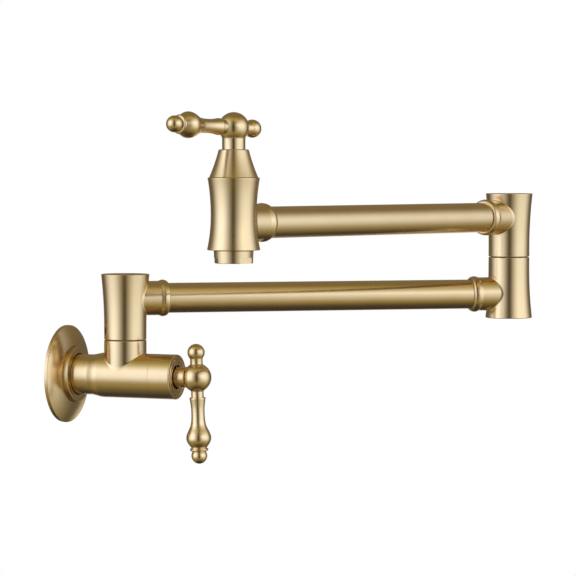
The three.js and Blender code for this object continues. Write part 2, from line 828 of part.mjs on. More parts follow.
/** A post that turns on a swivel pin: open at its seam face, closed at its top. */
function turningPostSolid() {
  const armSide = startingAt(0, 0, postArmHeight, alongX);
  const screwSide = startingAt(0, 0, pinGrooveHeight, alongMinusX);
  const bore = rod(pinRadius + seatGap, -cutOverrun, postHeight - postEndWall, bodyFacets);
  const screwHole = rod(grubRadius + seatGap, 0, postSeamRadius + cutOverrun, socketFacets, screwSide);
  const blank = joined(turned(postOutside(postHeight), bodyFacets), collarOutside(armSide));
  return cut(blank, bore, collarInside(armSide), screwHole);
}

/** The fixed lower half of the elbow: its seam face looks up and its flared end down. */
function elbowFootSolid() {
  const downwards = new THREE.Matrix4().makeRotationX(Math.PI);
  const armSide = startingAt(0, 0, -footArmDepth, alongMinusX);
  const blank = joined(turned(postOutside(footHeight), bodyFacets, downwards), collarOutside(armSide));
  return cut(blank, pinSocket(0, armPortRadius, postEndWall - footHeight, alongZ), collarInside(armSide));
}

/** The grub screw whose point runs in the pin's retaining groove. */
function grubScrewSolid() {
  const pointEnd = pinRadius - pinGrooveDepth + seatGap;
  const bodyStart = pinRadius + 2 * seatGap;
  const end = postSeamRadius - grubInset;
  const outline = [
    [0, pointEnd],
    [grubPointRadius, pointEnd],
    [grubPointRadius, bodyStart],
    [grubRadius, bodyStart],
    [grubRadius, end],
    [0, end],
  ];
  const placement = startingAt(0, 0, pinGrooveHeight, alongMinusX);
  return grubSolid(outline, grubSocketFlats, grubSocketDepth, end, placement);
}

function tubeSolid() {
  const placement = startingAt(0, 0, postArmHeight, alongX);
  const inner = tubeRadius - tubeWall;
  return ring(inner, tubeRadius, tubeEndFromAxis, armLength - tubeEndFromAxis, bodyFacets, placement);
}

/** Adds an arm's first post, its grub screw and its tube. */
function addArm(group, names) {
  addPiece(group, names.post, turningPostSolid(), satinGold);
  addPiece(group, names.screw, grubScrewSolid(), steelScrew);
  addPiece(group, names.tube, tubeSolid(), satinGold);
}

// ==== Outlet ====
// The group's origin is the centre of the outlet body's bottom face, and +Z is up.

function outletBodySolid() {
  const lowerFlare = outletBottomRadius - outletWaistRadius;
  const upperFlare = outletTopRadius - outletWaistRadius;
  const noseEnd = outletHeight + outletNoseHeight;
  const armSide = startingAt(0, 0, outletArmHeight, alongMinusX);
  const outside = turned([
    [0, 0],
    [outletBottomRadius - edgeBreak, 0],
    ...sweep(edgeBreak, outletWaistHeight, 4, (t) => outletWaistRadius + lowerFlare * (1 - t) ** 2),
    ...sweep(outletWaistHeight, outletHeight - edgeBreak, 4, (t) => outletWaistRadius + upperFlare * t * t).slice(1),
    [outletTopRadius - edgeBreak, outletHeight],
    [outletNoseRadius, outletHeight],
    [outletNoseRadius, noseEnd],
    [0, noseEnd],
  ], bodyFacets);
  const waterway = turned([
    [0, -cutOverrun],
    [aeratorThreadRadius + seatGap, -cutOverrun],
    [aeratorThreadRadius + seatGap, aeratorPocketDepth],
    [seatPortRadius, aeratorPocketDepth],
    [seatPortRadius, outletSeat],
    [chamberRadius, outletSeat],
    [chamberRadius, noseEnd + cutOverrun],
    [0, noseEnd + cutOverrun],
  ], bodyFacets);
  return cut(joined(outside, collarOutside(armSide)), waterway, collarInside(armSide));
}

/** Radius of the cone's side at a height over the outlet body's top. */
function coneRadiusAt(height) {
  const t = height / coneHeight;
  const straight = coneBaseRadius + (coneTopRadius - coneBaseRadius) * t;
  return straight - coneHollow * 4 * t * (1 - t);
}

function coneBonnetSolid() {
  const innerStart = outletNoseHeight + seatGap;
  const wallRadiusAt = (height) => Math.max(coneRadiusAt(height) - coneWall, coneHoleRadius);
  const innerRadius = Math.min(outletNoseRadius, wallRadiusAt(innerStart));
  const innerEnd = coneHeight - 2 * coneWall;
  return turned([
    [outletNoseRadius + seatGap, seatGap],
    ...sweep(seatGap, coneHeight - edgeBreak, 3, (t) =>
      coneRadiusAt(seatGap + (coneHeight - edgeBreak - seatGap) * t)
    ),
    [coneTopRadius - edgeBreak, coneHeight],
    [coneHoleRadius, coneHeight],
    [coneHoleRadius, innerEnd],
    [innerRadius, innerStart],
    [outletNoseRadius + seatGap, innerStart],
  ], bodyFacets, startingAt(0, 0, outletHeight));
}

function aeratorHousingSolid() {
  const housing = turned([
    [aeratorLipRadius, -aeratorHeight],
    [aeratorBottomRadius, -aeratorHeight],
    [aeratorTopRadius, -seatGap],
    [aeratorThreadRadius, -seatGap],
    [aeratorThreadRadius, aeratorThreadLength],
    [aeratorBoreRadius, aeratorThreadLength],
    [aeratorBoreRadius, aeratorLipHeight - aeratorHeight],
    [aeratorLipRadius, aeratorLipHeight - aeratorHeight],
  ], bodyFacets);
  const notches = [];
  for (let i = 0; i < keyNotches; i += 1) {
    const geometry = new THREE.BoxGeometry(keyNotchDepth + cutOverrun, keyNotchWidth, keyNotchHeight + cutOverrun);
    const middle = aeratorBottomRadius - keyNotchDepth + (keyNotchDepth + cutOverrun) / 2;
    geometry.translate(middle, 0, (keyNotchHeight - cutOverrun) / 2 - aeratorHeight);
    geometry.rotateZ(THREE.MathUtils.degToRad(keyNotchTurn + (360 * i) / keyNotches));
    notches.push(solidOf(geometry));
  }
  return cut(housing, ...notches);
}

/** The cup with a perforated plate that mixes air into the stream. */
function aeratorInsertSolid() {
  const radius = aeratorBoreRadius - seatGap;
  const plateStart = aeratorLipHeight - aeratorHeight + seatGap;
  const plateEnd = plateStart + insertPlate;
  const cup = turned([
    [0, plateStart],
    [radius, plateStart],
    [radius, aeratorThreadLength],
    [radius - insertWall, aeratorThreadLength],
    [radius - insertWall, plateEnd],
    [0, plateEnd],
  ], innerFacets);
  const holes = [];
  for (const { radius: circle, holes: count } of insertHoleRings) {
    for (let i = 0; i < count; i += 1) {
      const angle = (2 * Math.PI * i) / count;
      const place = startingAt(circle * Math.cos(angle), circle * Math.sin(angle), 0);
      holes.push(rod(insertHoleRadius, plateStart - cutOverrun, plateEnd + cutOverrun, 6, place));
    }
  }
  return cut(cup, ...holes);
}

function addOutlet(group) {
  addPiece(group, 'outlet_body', outletBodySolid(), satinGold);
  addPiece(group, 'outlet_bonnet', coneBonnetSolid(), satinGold);
  addCartridge(subgroup(group, 0, 0, outletSeat), 'outlet');
  addPiece(group, 'aerator_housing', aeratorHousingSolid(), satinGold);
  addPiece(group, 'aerator_insert', aeratorInsertSolid(), whiteNylon);
  const washerStart = aeratorThreadLength + seatGap;
  const washerEnd = aeratorPocketDepth - seatGap;
  const washer = ring(aeratorWasherBore, aeratorThreadRadius, washerStart, washerEnd, innerFacets);
  addPiece(group, 'aerator_washer', washer, blackRubber);
  addHandle(subgroup(group, 0, 0, outletSeat + hubAboveSeat()), 'outlet', outletHubNeckRadius);
}

// ==== Assembly ====

const potFiller = new THREE.Group();

const wallSide = subgroup(potFiller, 0, 0, 0);
wallSide.rotation.x = quarterTurn;
addWallSide(wallSide);

addSwivelPin(subgroup(potFiller, 0, -riserDistance, riserHeight), 'lower');

const lowerArm = subgroup(potFiller, 0, -riserDistance, riserHeight + swivelGap, lowerArmAngle - 90);
addArm(lowerArm, { post: 'lower_post', screw: 'lower_grub_screw', tube: 'lower_arm_tube' });

const elbowHeight = postArmHeight + footArmDepth;
const elbow = subgroup(lowerArm, armLength, 0, elbowHeight);
addPiece(elbow, 'elbow_foot', elbowFootSolid(), satinGold);
addSwivelPin(elbow, 'elbow');

const upperArm = subgroup(lowerArm, armLength, 0, elbowHeight + swivelGap, 180 + elbowAngle);
addArm(upperArm, { post: 'elbow_post', screw: 'elbow_grub_screw', tube: 'upper_arm_tube' });

addOutlet(subgroup(upperArm, armLength, 0, postArmHeight - outletArmHeight));

export default potFiller;
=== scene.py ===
"""A wall-mounted pot filler in satin gold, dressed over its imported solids.

Sizes are given in millimetres in the outlines below and turned to metres as each mesh is made.
"""

import json
import math

import bmesh
import bpy
from bpy.props import FloatProperty, FloatVectorProperty, IntProperty, PointerProperty
from bpy.types import Operator, Panel, PropertyGroup
from mathutils import Matrix, Vector, geometry


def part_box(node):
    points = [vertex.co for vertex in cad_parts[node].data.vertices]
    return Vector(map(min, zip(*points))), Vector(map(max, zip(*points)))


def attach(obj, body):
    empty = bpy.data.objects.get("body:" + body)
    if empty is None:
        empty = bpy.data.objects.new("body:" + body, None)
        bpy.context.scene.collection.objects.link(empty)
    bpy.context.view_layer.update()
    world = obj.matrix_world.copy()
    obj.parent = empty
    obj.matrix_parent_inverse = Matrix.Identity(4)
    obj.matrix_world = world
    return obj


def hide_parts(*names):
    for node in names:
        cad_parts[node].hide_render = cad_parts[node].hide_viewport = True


bl_info = {
    "name": "Pot Filler",
    "version": (1, 0, 0),
    "blender": (4, 5, 0),
    "location": "View3D > Sidebar > Pot Filler",
    "description": "Builds a wall-mounted pot filler on a folding arm, in satin gold",
    "category": "Add Mesh",
}

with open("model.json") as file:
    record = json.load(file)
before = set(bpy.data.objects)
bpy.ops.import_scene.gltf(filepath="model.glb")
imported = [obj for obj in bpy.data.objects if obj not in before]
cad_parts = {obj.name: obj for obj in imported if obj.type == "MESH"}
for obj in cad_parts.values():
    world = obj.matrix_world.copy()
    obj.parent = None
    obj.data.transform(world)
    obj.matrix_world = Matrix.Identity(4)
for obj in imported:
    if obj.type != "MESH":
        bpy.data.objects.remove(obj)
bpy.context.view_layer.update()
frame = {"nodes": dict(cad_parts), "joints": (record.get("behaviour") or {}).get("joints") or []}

MM = 0.001


# ---- Where the pieces stand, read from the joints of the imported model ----

def joint_point(name):
    """A joint's point in the row frame, in metres."""
    found = next(joint for joint in frame["joints"] if joint["name"] == name)
    return Vector(found["pos_m"])


def heading(start, end):
    """The direction from one point to another, seen from above, in radians."""
    return math.atan2(end.y - start.y, end.x - start.x)


LOWER_SWIVEL = joint_point("lower_arm_swivel")
UPPER_SWIVEL = joint_point("upper_arm_swivel")
OUTLET_AXIS = joint_point("outlet_handle_turn")
LOWER_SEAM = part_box("lower_post")[0].z
UPPER_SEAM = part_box("elbow_post")[0].z
OUTLET_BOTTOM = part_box("outlet_body")[0].z
SEAM_GAP = 0.4 * MM
WALL_HUB = -91.35 * MM  # wall to the ball of its handle
OUTLET_HUB_RISE = 72.65 * MM  # the outlet's bottom to the ball of its handle


def standing_at(x, y, z, turn=0.0):
    """A placement turned about +Z."""
    return Matrix.Translation((x, y, z)) @ Matrix.Rotation(turn, 4, "Z")


LOWER_TURN = heading(LOWER_SWIVEL, UPPER_SWIVEL)
UPPER_TURN = heading(UPPER_SWIVEL, OUTLET_AXIS)
OUT_OF_WALL = Matrix.Rotation(math.pi / 2, 4, "X")
LOWER_ARM = standing_at(LOWER_SWIVEL.x, LOWER_SWIVEL.y, LOWER_SEAM, LOWER_TURN)
ELBOW_FOOT = standing_at(UPPER_SWIVEL.x, UPPER_SWIVEL.y, UPPER_SEAM - SEAM_GAP, LOWER_TURN)
UPPER_ARM = standing_at(UPPER_SWIVEL.x, UPPER_SWIVEL.y, UPPER_SEAM, UPPER_TURN)
OUTLET = standing_at(OUTLET_AXIS.x, OUTLET_AXIS.y, OUTLET_BOTTOM, UPPER_TURN)
WALL_HANDLE = Matrix.Translation((0, WALL_HUB, 0)) @ OUT_OF_WALL @ Matrix.Rotation(-math.pi / 2, 4, "Z")
OUTLET_HANDLE = OUTLET @ Matrix.Translation((0, 0, OUTLET_HUB_RISE))

# Directions in which a piece turned about +Z can be laid.
ALONG_X = Matrix.Rotation(math.pi / 2, 4, "Y")
ALONG_MINUS_X = Matrix.Rotation(-math.pi / 2, 4, "Y")
ALONG_Y = Matrix.Rotation(-math.pi / 2, 4, "X")
DOWNWARDS = Matrix.Rotation(math.pi, 4, "X")


def starting(x, y, z, direction):
    """A direction, moved so that it starts at a point given in millimetres."""
    return Matrix.Translation((x * MM, y * MM, z * MM)) @ direction


# ---- Settings ----

def length(name, description, default_mm):
    """A size property in Blender's length unit."""
    return FloatProperty(name=name, description=description, default=default_mm * MM,
                         min=0.0, unit="LENGTH", precision=5)


def linear(hex_colour):
    """An sRGB hex colour as linear RGB."""
    channels = [int(hex_colour[i:i + 2], 16) / 255 for i in (1, 3, 5)]
    return tuple(c / 12.92 if c <= 0.04045 else ((c + 0.055) / 1.055) ** 2.4 for c in channels)


def colour(name, description, hex_colour):
    """A colour property."""
    return FloatVectorProperty(name=name, description=description, subtype="COLOR", size=3,
                               min=0.0, max=1.0, default=linear(hex_colour))


def degrees(name, description, default):
    """An angle property, whose default is in degrees."""
    return FloatProperty(name=name, description=description, default=math.radians(default), subtype="ANGLE")


def fraction(name, description, default):
    """A property between 0 and 1."""
    return FloatProperty(name=name, description=description, default=default,
                         min=0.0, max=1.0, subtype="FACTOR")


class PotFillerSizes(PropertyGroup):
    """Sizes of the turned pieces."""

    flange_radius: length("Flange radius", "Outer radius of the wall flange", 31.0)
    barrel_radius: length("Barrel radius", "Outer radius of the valve barrel", 14.15)
    riser_radius: length("Riser radius", "Outer radius of the riser under the first swivel", 13.4)
    post_seam_radius: length("Post seam radius", "Radius of a post at its swivel seam", 13.35)
    post_end_radius: length("Post end radius", "Radius of a post at its flared end", 15.25)
    tube_radius: length("Tube radius", "Outer radius of the arm tubes", 9.525)
    collar_radius: length("Collar radius", "Outer radius of the collars", 10.9)
    ball_radius: length("Hub ball radius", "Radius of the ball on each handle's hub", 9.15)
    edge_round: length("Edge rounding", "Radius on the turned edges", 0.45)
    facets: IntProperty(name="Facets", description="Facets in a full turn", default=96, min=24)


class PotFillerFinishes(PropertyGroup):
    """Colours and roughness of the finishes."""

    gold: colour("Satin gold", "Colour of the plated and brushed brass", "#E0C38E")
    gold_deep: colour("Satin gold, deep", "The slightly deeper tone between brushing lines", "#DABD86")
    gold_roughness: fraction("Satin gold roughness", "Blur of its reflections", 0.24)
    handle_roughness: fraction("Handle roughness", "Blur of the handles' reflections", 0.2)
    raw_brass: colour("Raw brass", "Machined brass of the inner pieces", "#C6A25A")
    rubber: colour("Rubber", "Seal rings and washers", "#1C1C1C")
    nylon: colour("Nylon", "Slip washers and the aerator's insert", "#E8E5DB")
    ceramic: colour("Ceramic", "Valve discs", "#D8D3C8")
    steel: colour("Screw steel", "Grub screws", "#6F6C66")


class PotFillerStage(PropertyGroup):
    """Camera, floor and light."""

    camera_place: FloatVectorProperty(name="Camera place", description="Where the camera stands",
                                      default=(-1.703994, -0.834147, 0.139993), unit="LENGTH")
    azimuth: degrees("Azimuth", "Direction of the camera round the tap", -68.205)
    elevation: degrees("Elevation", "How far the camera looks down", 2.577)
    roll: degrees("Roll", "How far the picture leans clockwise", 0.092)
    focal_length: FloatProperty(name="Focal length", description="Lens on a 36 mm frame, in millimetres",
                                default=185.71, min=10.0)
    floor_drop: length("Floor drop", "Height of the wall flange's centre over the floor", 480.0)
    floor: colour("Floor", "Plain pale floor", "#D8D6D2")
    light: FloatProperty(name="Light", description="Brightness of all the soft lights together",
                         default=1.0, min=0.0)


# ---- Outlines ----

def rounded(outline, steps=4):
    """A closed outline whose corners with a third value are rounded to that radius."""
    points = []
    count = len(outline)
    for i, corner in enumerate(outline):
        here = Vector(corner[:2])
        if len(corner) < 3:
            points.append(here)
            continue
        before = (Vector(outline[i - 1][:2]) - here).normalized()
        after = (Vector(outline[(i + 1) % count][:2]) - here).normalized()
        half = before.angle(after) / 2
        radius = corner[2]
        centre = here + (before + after).normalized() * (radius / math.sin(half))
        start = here + before * (radius / math.tan(half)) - centre
        sweep = -start.angle_signed(here + after * (radius / math.tan(half)) - centre)
        for step in range(steps + 1):
            turn = sweep * step / steps
            points.append(centre + Matrix.Rotation(turn, 2) @ start)
    return [tuple(point) for point in points]


def arc(radius_at, height_at, radius, start, end, steps):
    """Outline points on an arc, between two angles in degrees."""
    points = []
    for step in range(steps + 1):
        angle = math.radians(start + (end - start) * step / steps)
        points.append((radius_at + radius * math.cos(angle), height_at + radius * math.sin(angle)))
    return points


def heights(start, end, steps):
    """Evenly spaced heights, with both ends."""
    return [start + (end - start) * (step / steps) for step in range(steps + 1)]


def plain(radius, start, end, steps):
    """A straight stretch of an outline, with points along it for the blends and the shading."""
    return [(radius, height) for height in heights(start, end, steps)]


def law(start, end, steps, radius_of):
    """Outline points between two heights, whose radius follows a law of t from 0 to 1."""
    points = []
    for step in range(steps + 1):
        t = step / steps
        points.append((radius_of(t), start + (end - start) * t))
    return points


def smooth_through(points, steps=4):
    """A smooth curve through the given outline points."""
    ends = [points[0], *points, points[-1]]
    curve = []
    for i in range(1, len(ends) - 2):
        p0, p1, p2, p3 = (Vector(p) for p in ends[i - 1:i + 3])
        knots = geometry.interpolate_bezier(
            p1.to_3d(), (p1 + (p2 - p0) / 6).to_3d(), (p2 - (p3 - p1) / 6).to_3d(), p2.to_3d(), steps + 1)
        curve += [(k.x, k.y) for k in knots[:-1]]
    return [*curve, tuple(points[-1])]


# ---- Meshes ----

UV_NAME = "turning"
UV_RADIUS = 12 * MM  # a middling radius of the turned pieces, which makes a length of a turn


def lay_uv(mesh):
    """U runs along the turned surface and V round it, both in metres, for the brushing lines."""
    layer = mesh.loops.layers.uv.new(UV_NAME)
    for face in mesh.faces:
        centre = face.calc_center_median()
        middle = math.atan2(centre.y, centre.x)
        flat = abs(face.normal.z) > 0.75  # it looks along the axis
        for loop in face.loops:
            point = loop.vert.co
            radius = math.hypot(point.x, point.y)
            angle = math.atan2(point.y, point.x) if radius > 1e-7 else middle
            turn = middle + math.remainder(angle - middle, 2 * math.pi)
            loop[layer].uv = (radius if flat else point.z, turn * UV_RADIUS)


def turned(outline, facets, placement):
    """Spins a closed outline of (radius, height) about +Z and returns the bmesh."""
    mesh = bmesh.new()
    ring = [mesh.verts.new((radius * MM, 0, height * MM)) for radius, height in outline]
    edges = []
    for first, second in zip(ring, ring[1:] + ring[:1]):
        on_axis = abs(first.co.x) < 1e-9 and abs(second.co.x) < 1e-9
        if not on_axis:
            edges.append(mesh.edges.new((first, second)))
    bmesh.ops.spin(mesh, geom=ring + edges, cent=(0, 0, 0), axis=(0, 0, 1), dvec=(0, 0, 0),
                   angle=2 * math.pi, steps=facets, use_merge=True,
                   use_normal_flip=False, use_duplicate=False)
    bmesh.ops.remove_doubles(mesh, verts=mesh.verts, dist=1e-7)
    bmesh.ops.recalc_face_normals(mesh, faces=mesh.faces)
    lay_uv(mesh)
    mesh.transform(placement)
    return mesh


def rod(radius, start, end, facets, placement):
    """A plain cylinder between two heights."""
    return turned([(0, start), (radius, start), (radius, end), (0, end)], facets, placement)


def hex_rod(flats, start, end, placement):
    """A hexagonal prism, for a socket key."""
    return rod(flats / 2 / math.cos(math.pi / 6), start, end, 6, placement)


def block(size, centre, placement):
    """A box with its size and centre in millimetres."""
    mesh = bmesh.new()
    shape = Matrix.Translation(Vector(centre) * MM) @ Matrix.Diagonal((*(Vector(size) * MM), 1))
    bmesh.ops.create_cube(mesh, size=1, matrix=shape)
    mesh.loops.layers.uv.new(UV_NAME)
    mesh.transform(placement)
    return mesh


def scratch(mesh, collection):
    """A temporary object that takes over a mesh for a boolean."""
    data = bpy.data.meshes.new("scratch")
    mesh.to_mesh(data)
    mesh.free()
    thing = bpy.data.objects.new("scratch", data)
    collection.objects.link(thing)
    return thing


def combined(mesh, joined=(), cut=()):
    """Joins solids to a mesh, then cuts others from it, each lot in one boolean."""
    scene = bpy.context.scene
    base = scratch(mesh, scene.collection)
    things = [base]
    lots = []
    for operation, others in (("UNION", joined), ("DIFFERENCE", cut)):
        if not others:
            continue
        lot = bpy.data.collections.new(operation)
        scene.collection.children.link(lot)
        lots.append(lot)
        things += [scratch(other, lot) for other in others]
        modifier = base.modifiers.new(operation, "BOOLEAN")
        modifier.operation = operation
        modifier.solver = "EXACT"
        modifier.operand_type = "COLLECTION"
        modifier.collection = lot
    bpy.context.view_layer.update()
    graph = bpy.context.evaluated_depsgraph_get()
    data = bpy.data.meshes.new_from_object(base.evaluated_get(graph))
    result = bmesh.new()
    result.from_mesh(data)
    for thing in things:
        old = thing.data
        bpy.data.objects.remove(thing)
        bpy.data.meshes.remove(old)
    for lot in lots:
        bpy.data.collections.remove(lot)
    bpy.data.meshes.remove(data)
    bmesh.ops.remove_doubles(result, verts=result.verts, dist=1e-6)
    bmesh.ops.dissolve_degenerate(result, dist=1e-6, edges=result.edges)
    return result


def blend_crease(mesh, first, second, width=0.7 * MM):
    """Rolls a soft fillet into the crease where two turned forms meet.

    Each form is its placement and the law of its radius, both in its own frame.
    """
    forms = [(placement.inverted(), placement.to_3x3(), radius_at)
             for placement, radius_at in (first, second)]

    def distance_and_normal(form, point):
        into, out_of, radius_at = form
        local = into @ point
        away = max(math.hypot(local.x, local.y), 1e-9)
        return away - radius_at(local.z / MM) * MM, out_of @ Vector((local.x / away, local.y / away, 0))

    def nearest_first(point):
        return sorted((distance_and_normal(form, point) for form in forms), key=lambda pair: pair[0])

    def on_surface(vert):
        into_second = forms[1][0]
        if (into_second @ vert.co).z < 0:
            return False
        near, far = nearest_first(vert.co)
        return abs(near[0]) < 0.03 * MM and far[0] < 2.5 * width

    def settle(verts):
        for vert in verts:
            for _ in range(3):
                near, far = nearest_first(vert.co)
                share = max(width - (far[0] - near[0]), 0.0) / width
                slope = near[1] * (1 - share / 2) + far[1] * (share / 2)
                vert.co -= slope * ((near[0] - share * share * width / 4) / slope.length_squared)

    for _ in range(3):
        near = {vert for vert in mesh.verts if on_surface(vert)}
        faces = [face for face in mesh.faces if all(vert in near for vert in face.verts)]
        bmesh.ops.triangulate(mesh, faces=faces)
        faces = [face for face in mesh.faces if all(vert in near for vert in face.verts)]
        edges = {edge for face in faces for edge in face.edges if edge.calc_length() > 0.4 * width}
        bmesh.ops.subdivide_edges(mesh, edges=list(edges), cuts=1)
        bmesh.ops.triangulate(mesh, faces=[face for face in mesh.faces if len(face.verts) > 4])
    near = [vert for vert in mesh.verts if on_surface(vert)]
    inside = set(near)
    free = [vert for vert in near if all(edge.other_vert(vert) in inside for edge in vert.link_edges)]
    settle(near)
    for _ in range(4):
        bmesh.ops.smooth_vert(mesh, verts=free, factor=0.5, use_axis_x=True, use_axis_y=True, use_axis_z=True)
        settle(free)


SHARP_EDGE = math.radians(32)


def finished(mesh, node, body, finish, name=None):
    """Makes the piece of its mesh: shading, material and body, and hides the CAD node it stands for."""
    name = name or f"{node}_skin"
    for face in mesh.faces:
        face.smooth = True
    for edge in mesh.edges:
        edge.smooth = len(edge.link_faces) != 2 or edge.calc_face_angle(0.0) <= SHARP_EDGE
    data = bpy.data.meshes.new(name)
    mesh.to_mesh(data)
    mesh.free()
    data.materials.append(bpy.data.materials[finish])
    piece = bpy.data.objects.new(name, data)
    bpy.context.scene.collection.objects.link(piece)
    shading = piece.modifiers.new("even shading", "WEIGHTED_NORMAL")
    shading.keep_sharp = True
    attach(piece, body)
    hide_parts(node)


# ---- Materials ----

# What each one gives the eye:
SATIN_GOLD = "satin_brushed_gold_plate"  # pale gold that blurs the lights into soft bands along a form
HANDLE_GOLD = "fine_satin_gold_plate"  # the same gold, a little smoother, so its lights are crisper
RAW_BRASS = "machined_raw_brass"  # deeper and duller yellow than the plating
RUBBER = "moulded_nitrile_rubber"  # matt black that takes no highlight
NYLON = "moulded_white_nylon"  # milky white with a faint sheen, a light line in each swivel's seam
CERAMIC = "lapped_alumina_ceramic"  # smooth off-white, shinier than the nylon
STEEL = "plain_stainless_screw"  # dark grey metal, sunk in the grub screws' holes


def add_node(tree, kind, settings=None, **inputs):
    """Adds a node with its settings, and its inputs given as values or as sockets to link."""
    made = tree.nodes.new(kind)
    for name, value in (settings or {}).items():
        setattr(made, name, value)
    for name, value in inputs.items():
        numbered = name[0] == "i" and name[1:].isdigit()
        socket = made.inputs[int(name[1:]) if numbered else name.replace("_", " ")]
        if isinstance(value, bpy.types.NodeSocket):
            tree.links.new(value, socket)
        else:
            socket.default_value = value
    return made


def new_material(name):
    """A material with an empty Principled shader."""
    material = bpy.data.materials.new(name)
    material.use_nodes = True
    tree = material.node_tree
    tree.nodes.clear()
    shader = add_node(tree, "ShaderNodeBsdfPrincipled")
    output = add_node(tree, "ShaderNodeOutputMaterial")
    tree.links.new(shader.outputs["BSDF"], output.inputs["Surface"])
    return tree, shader


BRUSH_LINE = 0.125 * MM  # coarser than the real 0.03 mm, so that a close view still shows the lines
BRUSH_DEPTH = 0.05 * MM  # of which the bump's strength takes a fiftieth
BRUSH_PATCH = 50 / 3 * MM  # where the brush pressed a little more or less, at its real size
NOISE_SUM = (0.7, 1.3)  # where the sum of two noises mostly lies
SHEEN_SPREAD = 0.015  # how far the gold's roughness strays


def make_satin_gold(name, finishes, roughness):
    """Gold-tone plating on brass, with a fine brushing round the turned forms."""
    tree, shader = new_material(name)
    low, high = NOISE_SUM
    uv = add_node(tree, "ShaderNodeUVMap", {"uv_map": UV_NAME})
    along = add_node(tree, "ShaderNodeSeparateXYZ", Vector=uv.outputs["UV"])
    station = add_node(tree, "ShaderNodeMath", {"operation": "MULTIPLY"},
                       i0=along.outputs["X"], i1=1 / BRUSH_LINE)
    lines = add_node(tree, "ShaderNodeTexNoise", {"noise_dimensions": "1D"}, W=station.outputs[0],
                     Scale=1.0, Detail=2.0)
    place = add_node(tree, "ShaderNodeTexCoord")
    cloud = add_node(tree, "ShaderNodeTexNoise", Vector=place.outputs["Object"],
                     Scale=1 / BRUSH_PATCH, Detail=3.0)
    blend = add_node(tree, "ShaderNodeMath", {"operation": "ADD"},
                     i0=lines.outputs["Fac"], i1=cloud.outputs["Fac"])
    tone = add_node(tree, "ShaderNodeMapRange", Value=blend.outputs["Value"], From_Min=low, From_Max=high)
    mix = add_node(tree, "ShaderNodeMix", {"data_type": "RGBA"}, i0=tone.outputs["Result"],
                   i6=(*finishes.gold_deep, 1), i7=(*finishes.gold, 1))
    rough = add_node(tree, "ShaderNodeMapRange", Value=blend.outputs["Value"], From_Min=low, From_Max=high,
                     To_Min=roughness - SHEEN_SPREAD, To_Max=roughness + SHEEN_SPREAD)
    bump = add_node(tree, "ShaderNodeBump", Height=lines.outputs["Fac"], Strength=0.02, Distance=BRUSH_DEPTH)
    tree.links.new(mix.outputs[2], shader.inputs["Base Color"])
    tree.links.new(rough.outputs["Result"], shader.inputs["Roughness"])
    tree.links.new(bump.outputs["Normal"], shader.inputs["Normal"])
    shader.inputs["Metallic"].default_value = 1.0


# Each plain finish: its colour in the settings, its roughness, metallic, the size of its grain in
# millimetres and the strength of the grain's bump. Real grains are 0.1 mm and finer: all five are drawn
# coarser, or no picture would show them.
PLAIN_FINISHES = {
    RAW_BRASS: ("raw_brass", 0.35, 1.0, 0.5, 0.1),
    RUBBER: ("rubber", 0.7, 0.0, 0.6, 0.2),
    NYLON: ("nylon", 0.5, 0.0, 0.8, 0.1),
    CERAMIC: ("ceramic", 0.3, 0.0, 0.4, 0.05),
    STEEL: ("steel", 0.35, 1.0, 0.4, 0.1),
}
GRAIN_DEPTH = 0.1 * MM
GRAIN_NOISE = (0.3, 0.7)  # where one noise mostly lies
GRAIN_SHADES = (0.9, 1.06)  # the colour's share at both ends of it
GRAIN_SPREAD = 0.05  # how far the roughness strays


def make_plain(name, base, roughness, metallic, grain_mm, bump_strength):
    """A moulded or machined finish with a fine grain."""
    tree, shader = new_material(name)
    low, high = GRAIN_NOISE
    darkest, palest = GRAIN_SHADES
    place = add_node(tree, "ShaderNodeTexCoord")
    grain = add_node(tree, "ShaderNodeTexNoise", Vector=place.outputs["Object"],
                     Scale=1 / (grain_mm * MM), Detail=3.0)
    shade = add_node(tree, "ShaderNodeMapRange", Value=grain.outputs["Fac"], From_Min=low, From_Max=high,
                     To_Min=darkest, To_Max=palest)
    tint = add_node(tree, "ShaderNodeVectorMath", {"operation": "SCALE"}, i0=tuple(base))
    tree.links.new(shade.outputs["Result"], tint.inputs["Scale"])
    rough = add_node(tree, "ShaderNodeMapRange", Value=grain.outputs["Fac"], From_Min=low, From_Max=high,
                     To_Min=roughness - GRAIN_SPREAD, To_Max=roughness + GRAIN_SPREAD)
    bump = add_node(tree, "ShaderNodeBump", Height=grain.outputs["Fac"],
                    Strength=bump_strength, Distance=GRAIN_DEPTH)
    tree.links.new(tint.outputs["Vector"], shader.inputs["Base Color"])
    tree.links.new(rough.outputs["Result"], shader.inputs["Roughness"])
    tree.links.new(bump.outputs["Normal"], shader.inputs["Normal"])
    shader.inputs["Metallic"].default_value = metallic


class POTFILLER_OT_materials(Operator):
    """Makes the finishes."""

    bl_idname = "potfiller.materials"
    bl_label = "Finishes"

    def execute(self, context):
        finishes = context.scene.potfiller_finishes
        make_satin_gold(SATIN_GOLD, finishes, finishes.gold_roughness)
        make_satin_gold(HANDLE_GOLD, finishes, finishes.handle_roughness)
        for name, (base, *values) in PLAIN_FINISHES.items():
            make_plain(name, getattr(finishes, base), *values)
        return {"FINISHED"}


# ---- Inner pieces that keep their CAD mesh ----

